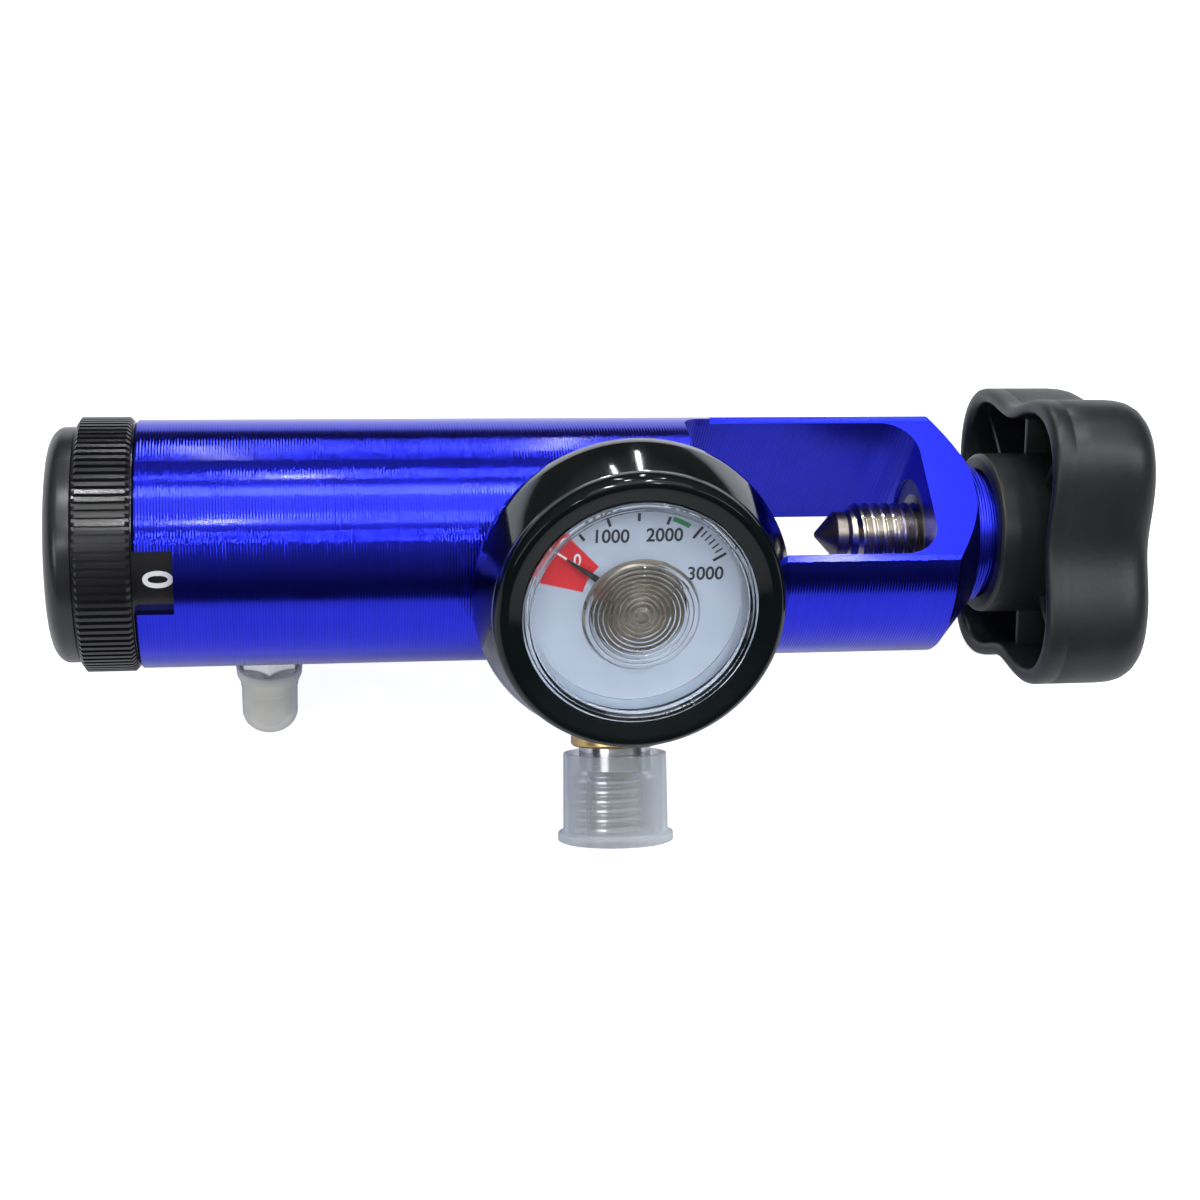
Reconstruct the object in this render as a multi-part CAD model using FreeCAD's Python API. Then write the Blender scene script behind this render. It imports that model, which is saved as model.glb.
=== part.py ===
import FreeCAD, Part
import math
import os
from FreeCAD import Vector

# Oxygen regulator with a pin-index yoke. Millimetres.
# +X runs along the barrel towards the hand knob and +Z stands square to the yoke's flats.
# The origin is where the cylinder valve's port face meets the inlet washer, on the barrel's axis.
# Angles round the barrel are elevations above -Y, the side that faces the user.

# Barrel and yoke
BARREL_R = 18.0
BARREL_LEFT = -81.9
CONE_START = 36.2
CONE_LENGTH = 4.9
CONE_DROP = 5.6
NECK_RING_R = 10.6
NECK_RING_LENGTH = 2.1
NECK_R = 9.4
NECK_LENGTH = 5.8
FLAT_HEIGHT = 12.18
FLAT_START = 2.1
SLOT_WIDTH = 24.06
SLOT_RIGHT = 33.9
SLOT_LEFT_CORNER = 2.6
SLOT_RIGHT_CORNER = 5.5
EDGE_BREAK = 0.4
CORE_BORE_R = 12.0
SEAT_WALL = 4.0

# Window for the flow numbers
SKIRT_BORE_WALL = 1.2
SKIRT_BORE_DEPTH = 6.5
WINDOW_ELEVATION = 36.8
WINDOW_WIDTH = 9.2
WINDOW_LENGTH = 5.45

# Inlet from the cylinder valve
WASHER_THICK = 2.4
WASHER_R = 5.55
NIPPLE_R = 3.1
NIPPLE_REACH = 4.6
NIPPLE_SEAT_R = 3.3
NIPPLE_THREAD_R = 4.5
NIPPLE_THREAD_LENGTH = 12.0
NIPPLE_BORE_R = 1.6
FILTER_LENGTH = 8.0
PIN_R = 2.0
PIN_SHANK_R = 1.8
PIN_REACH = 6.0
PIN_DEPTH = 8.0
PIN_CIRCLE_R = 14.3
PIN_ANGLE = 18.0

# Ports along the barrel
GAUGE_X = -12.85
GAUGE_ELEVATION = 33.35
OUTLET_X = -12.4
OUTLET_ELEVATION = -35.2
BARB_X = -63.7
BARB_ELEVATION = -65.0
PORT_THREAD_R = 5.1
PORT_BOTTOM = 9.3
DRILLING_R = 0.8

# Brass core and piston chamber
PASSAGE_R = 1.5
NOZZLE_X = -21.2
NOZZLE_HEIGHT = 1.2
NOZZLE_R = 1.8
GUIDE_R = 3.6
GUIDE_END = -32.0
CHAMBER_R = 9.4
CHAMBER_END = -50.5
CONTROL_BORE_R = 10.6

# Piston
PISTON_GAP = 0.8
STEM_R = 3.5
HEAD_X = -43.0
HEAD_THICK = 5.0
PAD_R = 2.2
PAD_THICK = 1.5
RING_WIRE_R = 0.8
HEAD_RING_WIRE_R = 0.9
STEM_RING_X = -27.0
SPRING_R = 6.5
SPRING_WIRE_R = 0.8
SPRING_END_GAP = 0.1
SPRING_TURNS = 4
COIL_STEPS = 12
WIRE_SIDES = 6

# Flow selector
FLOW_SEAT_X = -53.0
FLOW_SEAT_THICK = 5.0
DISC_GAP = 0.2
DISC_R = 9.8
DISC_THICK = 2.2
ORIFICE_CIRCLE_R = 7.0
ORIFICE_COUNT = 12
ORIFICE_R_FIRST = 0.25
ORIFICE_R_STEP = 0.05
BLOCK_LENGTH = 13.0
BLOCK_BOSS_R = 9.0
BLOCK_BOSS_LENGTH = 1.7
SPINDLE_R = 2.5
SPINDLE_PILOT_R = 1.5
SPINDLE_PILOT_LENGTH = 3.0
SPINDLE_SQUARE = 3.4
RETAINER_THICK = 1.0
BALL_R = 1.5
BALL_CIRCLE_R = 7.0
BALL_DEPTH = 0.9
DETENT_SPRING_LENGTH = 5.0
DETENT_WIRE_R = 0.3
DETENT_TURNS = 4
DIMPLE_DEPTH = 0.4
KNOB_SCREW_R = 1.5
KNOB_SCREW_HEAD_R = 2.9
KNOB_SCREW_HEAD = 2.0
KNOB_SCREW_LENGTH = 8.0

# Flow knob
KNOB_GAP = 0.3
GRIP_PROUD = 0.4
RIB_HEIGHT = 0.5
GRIP_LENGTH = 7.9
RIB_COUNT = 100
SKIRT_CLEARANCE = 0.2
SKIRT_WALL = 1.5
KNOB_WEB = 4.0
CAP_STEP = 1.4
CAP_STRAIGHT = 1.7
CAP_CORNER_LENGTH = 2.4
CAP_CORNER_DROP = 4.0
CAP_WALL = 1.6
CAP_SPIGOT_STEP = 1.4
CAP_SPIGOT_LENGTH = 3.0

# Pressure gauge
CASE_STANDOFF = 0.9
CASE_DEPTH = 8.7
CASE_R = 22.6
CASE_SIDE = 2.0
CASE_TAPER = 2.1
CASE_WALL = 1.2
CASE_CORNER = 1.0
BEZEL_DEPTH = 2.3
BEZEL_SHOULDER = 0.3
BEZEL_CREST_INSET = 0.9
BEZEL_INNER_CREST_INSET = 1.8
BEZEL_WIDTH = 4.0
LENS_THICK = 1.5
LENS_SINK = 1.0
LENS_RIM_WIDTH = 0.9
LENS_RIM_HEIGHT = 0.5
LENS_BOSS_R = 7.9
LENS_BOSS_HEIGHT = 0.4
DIAL_INSET = 3.3
DIAL_FOOT_R = 1.0
DIAL_FOOT_INSET = 1.5
DIAL_RISE = 5.5
DIAL_THICK = 0.5
POINTER_HEIGHT = 0.6
POINTER_THICK = 0.25
POINTER_REACH = 12.4
POINTER_WIDTH = 1.7
POINTER_TIP = 0.3
POINTER_ZERO = 145.5
HUB_R = 6.8
HUB_THICK = 1.1
ARBOR_R = 0.6
TUBE_RING_R = 11.0
TUBE_WIDTH = 1.4
TUBE_HEIGHT = 3.0
TUBE_ARC = 270.0
STEM_HEAD_R = 6.5
STEM_BORE_R = 0.9
STEM_HEAD_THICK = 1.2
STEM_BRIDGE_R = 2.6
STEM_BRIDGE_HEIGHT = 1.0
ARBOR_SOCKET = 0.3
TUBE_CLEARANCE = 0.3

# Threaded outlet
OUTLET_HEX = 12.7
OUTLET_HEX_STANDOFF = 0.2
OUTLET_HEX_LENGTH = 5.2
OUTLET_NECK_R = 5.4
OUTLET_COLLAR_R = 6.6
OUTLET_NECK_LENGTH = 6.2
OUTLET_COLLAR_LENGTH = 1.7
OUTLET_THREAD_R = 7.1
OUTLET_RELIEF_LENGTH = 3.6
OUTLET_THREAD_LENGTH = 8.6
OUTLET_BORE_R = 3.2
OUTLET_MOUTH_R = 2.2
OUTLET_MOUTH_LENGTH = 2.0
OUTLET_CAP_CLEARANCE = 0.08
OUTLET_CAP_WALL = 0.6
OUTLET_CAP_DEPTH = 12.0
OUTLET_CAP_LIFT = 1.1
OUTLET_CAP_FLANGE_R = 8.7
OUTLET_CAP_FLANGE = 1.4
POPPET_R = 2.9
POPPET_THICK = 2.0
POPPET_STEM_R = 1.5
POPPET_GAP = 0.05
CHECK_COIL_GAP = 0.15
CHECK_WIRE_R = 0.3
CHECK_SPRING_LENGTH = 8.0
CHECK_SPRING_TURNS = 5

# Hose barb
BARB_HEX = 7.6
BARB_HEX_SINK = 0.4
BARB_HEX_LENGTH = 5.2
BARB_THREAD_R = 3.4
BARB_TUBE_R = 2.4
BARB_RIDGE_R = 3.1
BARB_RIDGES = 2
BARB_RIDGE_LENGTH = 2.2
BARB_REACH = 6.6
BARB_BORE_R = 1.3
BARB_CAP_R = 4.2
BARB_CAP_BORE_R = 3.5
BARB_CAP_FLARE_R = 5.0
BARB_CAP_FLARE_BORE_R = 4.5
BARB_CAP_OVERLAP = 1.6
BARB_CAP_FLARE_LENGTH = 3.2
BARB_CAP_GAP = 3.2
BARB_CAP_ROUND = 3.0

# Clamp screw and hand knob
INSERT_R = 8.4
INSERT_DEPTH = 6.6
INSERT_RECESS = 0.5
INSERT_CHAMFER = 0.5
SCREW_R = 4.7625
SCREW_CLEARANCE = 0.05
SCREW_TIP_X = 18.9
CONE_TIP_R = 0.35
CONE_TIP_LENGTH = 2.9
DOG_R = 3.5
DOG_LENGTH = 1.7
TIP_STEM_R = 1.6
TIP_STEM_LENGTH = 6.0
SCREW_END = 60.5
SCREW_CHAMFER = 0.7
LOBE_R = 26.4
LOBE_ROUND = 11.5
VALLEY_R = 19.8
LOBE_TURN = 1.4
RIM_X = 48.9
KNOB_BACK = 65.7
KNOB_WALL = 2.4
KNOB_FLOOR = 3.0
KNOB_EDGE = 3.2
RIM_EDGE = 1.0
HUB_FRONT = 44.6
HUB_OUTER_R = 12.2
NECK_CLEARANCE = 0.5
HUB_RECESS_DEPTH = 6.4
RIB_THICK = 1.0
RIB_FRONT = 52.1

X_AXIS = Vector(1, 0, 0)
Z_AXIS = Vector(0, 0, 1)
ORIGIN = Vector(0, 0, 0)

SEAT_X = -WASHER_THICK
CONE_END = CONE_START + CONE_LENGTH
NECK_STEP = CONE_END + NECK_RING_LENGTH
NECK_END = NECK_STEP + NECK_LENGTH

# Radii that follow the barrel's and the gauge case's
SKIRT_BORE_R = BARREL_R - SKIRT_BORE_WALL
GRIP_R = BARREL_R + GRIP_PROUD
GRIP_ROOT_R = GRIP_R - RIB_HEIGHT
CAP_R = GRIP_R - CAP_STEP
CAP_SPIGOT_R = CAP_R - CAP_SPIGOT_STEP
CASE_FRONT_R = CASE_R - CASE_TAPER
BEZEL_CREST_R = CASE_FRONT_R - BEZEL_CREST_INSET
BEZEL_INNER_CREST_R = CASE_FRONT_R - BEZEL_INNER_CREST_INSET
LENS_R = CASE_FRONT_R - BEZEL_WIDTH
DIAL_R = CASE_FRONT_R - DIAL_INSET

# Heights from the barrel's axis, each from the piece that carries it
CASE_BACK = BARREL_R + CASE_STANDOFF
BEZEL_BACK = CASE_BACK + CASE_DEPTH
BEZEL_FRONT = BEZEL_BACK + BEZEL_DEPTH
LENS_FRONT = BEZEL_FRONT - LENS_SINK
DIAL_HEIGHT = CASE_BACK + DIAL_RISE
OUTLET_HEX_BASE = BARREL_R + OUTLET_HEX_STANDOFF
OUTLET_HEX_TOP = OUTLET_HEX_BASE + OUTLET_HEX_LENGTH
OUTLET_COLLAR_BASE = OUTLET_HEX_TOP + OUTLET_NECK_LENGTH
OUTLET_COLLAR_TOP = OUTLET_COLLAR_BASE + OUTLET_COLLAR_LENGTH
OUTLET_THREAD_BASE = OUTLET_COLLAR_TOP + OUTLET_RELIEF_LENGTH
OUTLET_END = OUTLET_THREAD_BASE + OUTLET_THREAD_LENGTH
OUTLET_CAP_END = OUTLET_COLLAR_TOP + OUTLET_CAP_FLANGE + OUTLET_CAP_DEPTH + OUTLET_CAP_LIFT
OUTLET_CAP_MOUTH = OUTLET_CAP_END - OUTLET_CAP_FLANGE - OUTLET_CAP_DEPTH
BARB_HEX_BASE = BARREL_R - BARB_HEX_SINK
BARB_HEX_TOP = BARB_HEX_BASE + BARB_HEX_LENGTH
BARB_END = BARB_HEX_TOP + BARB_REACH
BARB_CAP_MOUTH = BARB_HEX_TOP - BARB_CAP_OVERLAP
BARB_CAP_END = BARB_END + BARB_CAP_GAP


def turned(profile):
    """A solid turned about the barrel's axis from (x, radius) points."""
    points = [Vector(x, 0, r) for x, r in profile]
    face = Part.Face(Part.makePolygon(points + points[:1]))
    return face.revolve(ORIGIN, X_AXIS, 360)


def turned_up(profile):
    """A solid turned about Z from (radius, height) points."""
    points = [Vector(r, 0, z) for r, z in profile]
    face = Part.Face(Part.makePolygon(points + points[:1]))
    return face.revolve(ORIGIN, Z_AXIS, 360)


def rod(radius, x0, x1, y=0.0, z=0.0):
    """A round bar along X."""
    return Part.makeCylinder(radius, x1 - x0, Vector(x0, y, z), X_AXIS)


def post(radius, z0, z1):
    """A round bar along Z."""
    return Part.makeCylinder(radius, z1 - z0, Vector(0, 0, z0), Z_AXIS)


def hexagon(across, z0, z1):
    """A six-sided bar along Z."""
    corner = across / math.sqrt(3)
    angles = [math.radians(60 * i) for i in range(7)]
    points = [Vector(corner * math.cos(a), corner * math.sin(a), z0) for a in angles]
    return Part.Face(Part.makePolygon(points)).extrude(Vector(0, 0, z1 - z0))


def outward(shape, x, elevation):
    """Stand a shape built along Z out of the barrel at x."""
    placed = shape.copy()
    placed.rotate(ORIGIN, X_AXIS, 90 - elevation)
    placed.translate(Vector(x, 0, 0))
    return placed


def around(radius, elevation):
    """Y and Z of a point at this radius and elevation."""
    angle = math.radians(elevation)
    return -radius * math.cos(angle), radius * math.sin(angle)


def coil(ring_r, wire_r, length, turns):
    """A spring along Z, from 0 to length over its wire, in short straight steps."""
    steps = round(turns * COIL_STEPS)
    rise = length - 2 * wire_r
    path = []
    for i in range(steps + 1):
        angle = 2 * math.pi * i / COIL_STEPS
        height = wire_r + rise * i / steps
        path.append(Vector(ring_r * math.cos(angle), ring_r * math.sin(angle), height))
    along = (path[1] - path[0]).normalize()
    across = (X_AXIS - along * along.x).normalize()
    up = along.cross(across)
    section = []
    for i in range(WIRE_SIDES + 1):
        angle = 2 * math.pi * i / WIRE_SIDES
        section.append(path[0] + across * (wire_r * math.cos(angle)) + up * (wire_r * math.sin(angle)))
    return Part.makePolygon(path).makePipeShell([Part.makePolygon(section)], True, False, 1)


def ring_seal(ring_r, wire_r, x):
    """A seal ring about the barrel's axis, with an eight-sided section."""
    angles = [math.pi / 4 * i for i in range(8)]
    return turned([(x + wire_r * math.cos(a), ring_r + wire_r * math.sin(a)) for a in angles])


def corner_arc(x, r, length, drop, steps=8):
    """Points of a rounded corner that ends length further left and drop lower."""
    angles = [math.pi / 2 * i / steps for i in range(1, steps + 1)]
    return [(x - length * math.sin(a), r - drop * (1 - math.cos(a))) for a in angles]


# Body: barrel, end cone and neck turned in one
body = turned([
    (BARREL_LEFT, 0),
    (BARREL_LEFT, BARREL_R - EDGE_BREAK),
    (BARREL_LEFT + EDGE_BREAK, BARREL_R),
    (CONE_START, BARREL_R),
    (CONE_END, BARREL_R - CONE_DROP),
    (CONE_END, NECK_RING_R),
    (NECK_STEP, NECK_RING_R),
    (NECK_STEP, NECK_R),
    (NECK_END, NECK_R),
    (NECK_END, 0),
])

# Two flats run from the yoke's root through the cone
flat_length = CONE_END - FLAT_START
for side in (1, -1):
    low = FLAT_HEIGHT if side > 0 else -FLAT_HEIGHT - BARREL_R
    corner = Vector(FLAT_START, -BARREL_R, low)
    body = body.cut(Part.makeBox(flat_length, 2 * BARREL_R, BARREL_R, corner))

# The yoke slot goes right through, with rounded corners
slot = Part.makeBox(
    SLOT_RIGHT - SEAT_X, SLOT_WIDTH, 4 * BARREL_R,
    Vector(SEAT_X, -SLOT_WIDTH / 2, -2 * BARREL_R),
)
left_edges = [e for e in slot.Edges if e.Length > 3 * BARREL_R and e.CenterOfMass.x < 0]
slot = slot.makeFillet(SLOT_LEFT_CORNER, left_edges)
right_edges = [
    e for e in slot.Edges
    if e.Length > 3 * BARREL_R and e.CenterOfMass.x > SLOT_RIGHT - EDGE_BREAK
    and abs(e.CenterOfMass.y) > SLOT_WIDTH / 2 - EDGE_BREAK
]
slot = slot.makeFillet(SLOT_RIGHT_CORNER, right_edges)
body = body.cut(slot)

# Bores for the core and the knob's numbered skirt
core_right = SEAT_X - SEAT_WALL
skirt_floor = BARREL_LEFT + SKIRT_BORE_DEPTH
core_left = skirt_floor
body = body.cut(rod(SKIRT_BORE_R, BARREL_LEFT, skirt_floor))
body = body.cut(rod(CORE_BORE_R, skirt_floor, core_right))
body = body.cut(rod(NIPPLE_THREAD_R, core_right, SEAT_X))

# Window over the numbers, open at the barrel's end
window = Part.makeBox(
    WINDOW_LENGTH, WINDOW_WIDTH, BARREL_R,
    Vector(0, -WINDOW_WIDTH / 2, SKIRT_BORE_R / 2),
)
body = body.cut(outward(window, BARREL_LEFT, WINDOW_ELEVATION))

# Ports for the gauge and the two outlets
port = post(PORT_THREAD_R, 0, 2 * BARREL_R)
barb_hole = post(BARB_THREAD_R, 0, 2 * BARREL_R)
barb_pocket_r = BARB_HEX / math.sqrt(3) + EDGE_BREAK
barb_pocket = post(barb_pocket_r, BARB_HEX_BASE, 2 * BARREL_R)
body = body.cut(outward(port.cut(post(PORT_THREAD_R, 0, PORT_BOTTOM)), GAUGE_X, GAUGE_ELEVATION))
body = body.cut(outward(port.cut(post(PORT_THREAD_R, 0, PORT_BOTTOM)), OUTLET_X, OUTLET_ELEVATION))
body = body.cut(outward(barb_hole, BARB_X, BARB_ELEVATION))
body = body.cut(outward(barb_pocket, BARB_X, BARB_ELEVATION))

# Index pin holes in the wall that faces the valve
pin_y = PIN_CIRCLE_R * math.sin(math.radians(PIN_ANGLE))
pin_z = -PIN_CIRCLE_R * math.cos(math.radians(PIN_ANGLE))
pin_hole_end = SEAT_X - PIN_DEPTH
for y in (pin_y, -pin_y):
    body = body.cut(rod(PIN_SHANK_R, pin_hole_end, SEAT_X, y, pin_z))

# Hole for the steel bush, and a clear hole on through the neck
insert_left = SLOT_RIGHT + INSERT_RECESS
insert_right = SLOT_RIGHT + INSERT_RECESS + INSERT_DEPTH
neck_hole_r = SCREW_R + NECK_CLEARANCE
body = body.cut(rod(INSERT_R, SLOT_RIGHT, insert_right))
body = body.cut(rod(neck_hole_r, insert_right, NECK_END))

# Brass core: inlet passage, nozzle, piston guide, chamber and flow bore
nozzle_root = NOZZLE_X + NOZZLE_HEIGHT
nipple_end = SEAT_X - NIPPLE_THREAD_LENGTH
core = turned([
    (core_right, NIPPLE_THREAD_R),
    (core_right, CORE_BORE_R),
    (core_left, CORE_BORE_R),
    (core_left, CONTROL_BORE_R),
    (CHAMBER_END, CONTROL_BORE_R),
    (CHAMBER_END, CHAMBER_R),
    (GUIDE_END, CHAMBER_R),
    (GUIDE_END, GUIDE_R),
    (nozzle_root, GUIDE_R),
    (nozzle_root, NOZZLE_R),
    (NOZZLE_X, PASSAGE_R / 2 + 0.3),
    (NOZZLE_X, PASSAGE_R / 2),
    (nozzle_root, PASSAGE_R / 2),
    (nozzle_root + 2, PASSAGE_R),
    (nipple_end, PASSAGE_R),
    (nipple_end, NIPPLE_THREAD_R),
])

# The stem seal's groove
groove_half = RING_WIRE_R + 0.1
stem_ring_r = STEM_R + SCREW_CLEARANCE + RING_WIRE_R
groove_r = stem_ring_r + RING_WIRE_R + SCREW_CLEARANCE
core = core.cut(rod(groove_r, STEM_RING_X - groove_half, STEM_RING_X + groove_half))

# Ports in the core, and the small drillings that feed them
blind_port = post(PORT_THREAD_R, PORT_BOTTOM, 2 * BARREL_R)
feed = post(DRILLING_R, 0, PORT_BOTTOM)
core = core.cut(outward(blind_port, GAUGE_X, GAUGE_ELEVATION))
core = core.cut(outward(blind_port, OUTLET_X, OUTLET_ELEVATION))
core = core.cut(outward(barb_hole, BARB_X, BARB_ELEVATION))
drilling_r = (CHAMBER_R + CORE_BORE_R) / 2
drilling_y, drilling_z = around(drilling_r, OUTLET_ELEVATION)
core = core.cut(rod(DRILLING_R, CHAMBER_END - 1, OUTLET_X, drilling_y, drilling_z))

# Inlet nipple, its filter, the washer round it and the index pins
inlet_nipple = turned([
    (nipple_end, NIPPLE_BORE_R),
    (nipple_end, NIPPLE_THREAD_R),
    (SEAT_X, NIPPLE_THREAD_R),
    (SEAT_X, NIPPLE_SEAT_R),
    (-0.1, NIPPLE_SEAT_R),
    (-0.1, NIPPLE_R),
    (NIPPLE_REACH - EDGE_BREAK, NIPPLE_R),
    (NIPPLE_REACH, NIPPLE_R - EDGE_BREAK),
    (NIPPLE_REACH, NIPPLE_BORE_R),
])
gauge_feed = feed.cut(post(DRILLING_R, 0, NIPPLE_BORE_R / 2))
core = core.cut(outward(gauge_feed, GAUGE_X, GAUGE_ELEVATION))
inlet_nipple = inlet_nipple.cut(outward(gauge_feed, GAUGE_X, GAUGE_ELEVATION))
filter_left = SEAT_X - FILTER_LENGTH
inlet_filter = rod(NIPPLE_BORE_R, filter_left, SEAT_X)
seal_washer = rod(WASHER_R, SEAT_X, 0).cut(rod(NIPPLE_SEAT_R, SEAT_X, 0))
pins = []
for y in (pin_y, -pin_y):
    pin = rod(PIN_R, SEAT_X, SEAT_X + PIN_REACH, y, pin_z)
    tip_edges = [e for e in pin.Edges if e.CenterOfMass.x > SEAT_X + PIN_REACH - EDGE_BREAK]
    pin = pin.makeChamfer(EDGE_BREAK, tip_edges)
    pins.append(pin.fuse(rod(PIN_SHANK_R, pin_hole_end, SEAT_X, y, pin_z)))
index_pins = Part.makeCompound(pins)

# Piston: hollow stem, seat pad at its tip and a head with one seal
stem_tip = NOZZLE_X - PISTON_GAP
head_left = HEAD_X - HEAD_THICK
head_r = CHAMBER_R - SCREW_CLEARANCE
head_ring_x = HEAD_X - HEAD_THICK / 2
head_ring_r = CHAMBER_R - 0.02 - HEAD_RING_WIRE_R
pad_end = stem_tip - PAD_THICK
piston = turned([
    (stem_tip, PAD_R),
    (stem_tip, STEM_R),
    (HEAD_X, STEM_R),
    (HEAD_X, head_r),
    (head_left, head_r),
    (head_left, DRILLING_R),
    (pad_end - 1, DRILLING_R),
    (pad_end - 1, 0),
    (pad_end, 0),
    (pad_end, PAD_R),
])
ring_half = HEAD_RING_WIRE_R + 0.05
ring_floor = head_ring_r - HEAD_RING_WIRE_R - 0.05
groove = rod(CHAMBER_R, head_ring_x - ring_half, head_ring_x + ring_half)
piston = piston.cut(groove.cut(rod(ring_floor, head_ring_x - ring_half, head_ring_x + ring_half)))
cross_drilling = post(DRILLING_R / 2, -STEM_R, STEM_R)
cross_drilling.translate(Vector(pad_end - 1 - DRILLING_R, 0, 0))
piston = piston.cut(cross_drilling)
seat_pad = rod(PAD_R, pad_end, stem_tip)
piston_o_ring = ring_seal(head_ring_r, HEAD_RING_WIRE_R, head_ring_x)
stem_o_ring = ring_seal(stem_ring_r, RING_WIRE_R, STEM_RING_X)
spring_length = GUIDE_END - HEAD_X
piston_spring = coil(SPRING_R, SPRING_WIRE_R, spring_length - 2 * SPRING_END_GAP, SPRING_TURNS)
piston_spring.rotate(ORIGIN, Vector(0, 1, 0), 90)
piston_spring.translate(Vector(HEAD_X + SPRING_END_GAP, 0, 0))

# Fixed flow seat with one feed hole
flow_seat_left = FLOW_SEAT_X - FLOW_SEAT_THICK
flow_seat = rod(CONTROL_BORE_R, flow_seat_left, FLOW_SEAT_X)
pilot_hole_r = SPINDLE_PILOT_R + SCREW_CLEARANCE
pilot_tip = flow_seat_left + SPINDLE_PILOT_LENGTH
flow_seat = flow_seat.cut(rod(pilot_hole_r, flow_seat_left, pilot_tip + SCREW_CLEARANCE))
feed_y, feed_z = around(ORIFICE_CIRCLE_R, BARB_ELEVATION)
flow_seat = flow_seat.cut(rod(DRILLING_R, flow_seat_left, FLOW_SEAT_X, feed_y, feed_z))

# Orifice disc: one blank place and a hole for each flow
disc_right = flow_seat_left - DISC_GAP / 2
disc_left = disc_right - DISC_THICK
orifice_disc = rod(DISC_R, disc_left, disc_right)
half_square = SPINDLE_SQUARE / 2
square_hole = Part.makeBox(
    DISC_THICK, SPINDLE_SQUARE, SPINDLE_SQUARE,
    Vector(disc_left, -half_square, -half_square),
)
orifice_disc = orifice_disc.cut(square_hole)
for i in range(1, ORIFICE_COUNT):
    y, z = around(ORIFICE_CIRCLE_R, BARB_ELEVATION + 360 * i / ORIFICE_COUNT)
    orifice_r = ORIFICE_R_FIRST + ORIFICE_R_STEP * i
    orifice_disc = orifice_disc.cut(rod(orifice_r, disc_left, disc_right, y, z))

# Outlet block: collects the flow behind the disc and leads it to the barb
block_right = disc_left - DISC_GAP
block_left = block_right - BLOCK_LENGTH
boss_left = block_left - BLOCK_BOSS_LENGTH
spindle_hole_r = SPINDLE_R + SCREW_CLEARANCE
outlet_block = turned([
    (block_right, spindle_hole_r),
    (block_right, CONTROL_BORE_R),
    (block_left, CONTROL_BORE_R),
    (block_left, BLOCK_BOSS_R),
    (boss_left, BLOCK_BOSS_R),
    (boss_left, spindle_hole_r),
])
collector_half = DRILLING_R + 0.2
collector = rod(ORIFICE_CIRCLE_R + collector_half, block_right - 1, block_right)
collector = collector.cut(rod(ORIFICE_CIRCLE_R - collector_half, block_right - 1, block_right))
outlet_block = outlet_block.cut(collector)
barb_root = CORE_BORE_R - BARB_THREAD_R
outlet_block = outlet_block.cut(outward(post(BARB_THREAD_R, barb_root, 2 * BARREL_R), BARB_X, BARB_ELEVATION))
lead_y, lead_z = around(ORIFICE_CIRCLE_R, BARB_ELEVATION)
outlet_block = outlet_block.cut(rod(DRILLING_R, BARB_X, block_right, lead_y, lead_z))
lead_up = post(DRILLING_R, ORIFICE_CIRCLE_R, barb_root)
outlet_block = outlet_block.cut(outward(lead_up, BARB_X, BARB_ELEVATION))
spindle_ring_x = (block_left + BARB_X) / 2
spindle_ring_r = SPINDLE_R + SCREW_CLEARANCE + RING_WIRE_R
spindle_groove_r = spindle_ring_r + RING_WIRE_R + SCREW_CLEARANCE
spindle_groove = rod(spindle_groove_r, spindle_ring_x - groove_half, spindle_ring_x + groove_half)
outlet_block = outlet_block.cut(spindle_groove)
spindle_o_ring = ring_seal(spindle_ring_r, RING_WIRE_R, spindle_ring_x)

# Detents: two sprung balls in the block ride on the knob's face
ball_x = boss_left + BALL_R - BALL_DEPTH
ball_left = ball_x - BALL_R
ball_hole_r = BALL_R + SCREW_CLEARANCE
ball_hole_end = ball_x + BALL_R + DETENT_SPRING_LENGTH
ball_places = [(0, BALL_CIRCLE_R), (0, -BALL_CIRCLE_R)]
balls = []
ball_springs = []
for y, z in ball_places:
    outlet_block = outlet_block.cut(rod(ball_hole_r, boss_left, ball_hole_end, y, z))
    balls.append(Part.makeSphere(BALL_R, Vector(ball_x, y, z)))
    spring = coil(BALL_R - DETENT_WIRE_R, DETENT_WIRE_R, DETENT_SPRING_LENGTH, DETENT_TURNS)
    spring.rotate(ORIGIN, Vector(0, 1, 0), 90)
    spring.translate(Vector(ball_x + BALL_R, y, z))
    ball_springs.append(spring)
detent_balls = Part.makeCompound(balls)
detent_springs = Part.makeCompound(ball_springs)

# Snap ring that holds the block in the core
retainer_groove_r = (CONTROL_BORE_R + CORE_BORE_R) / 2
retainer_left = block_left - RETAINER_THICK
retaining_ring = rod(retainer_groove_r, retainer_left, block_left)
retaining_ring = retaining_ring.cut(rod(BLOCK_BOSS_R + EDGE_BREAK, retainer_left, block_left))
core = core.cut(rod(retainer_groove_r, retainer_left, block_left))
snap_gap = Part.makeBox(RETAINER_THICK, BLOCK_BOSS_R / 2, CORE_BORE_R)
snap_gap.translate(Vector(retainer_left, -BLOCK_BOSS_R / 4, 0))
retaining_ring = retaining_ring.cut(snap_gap)

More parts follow.
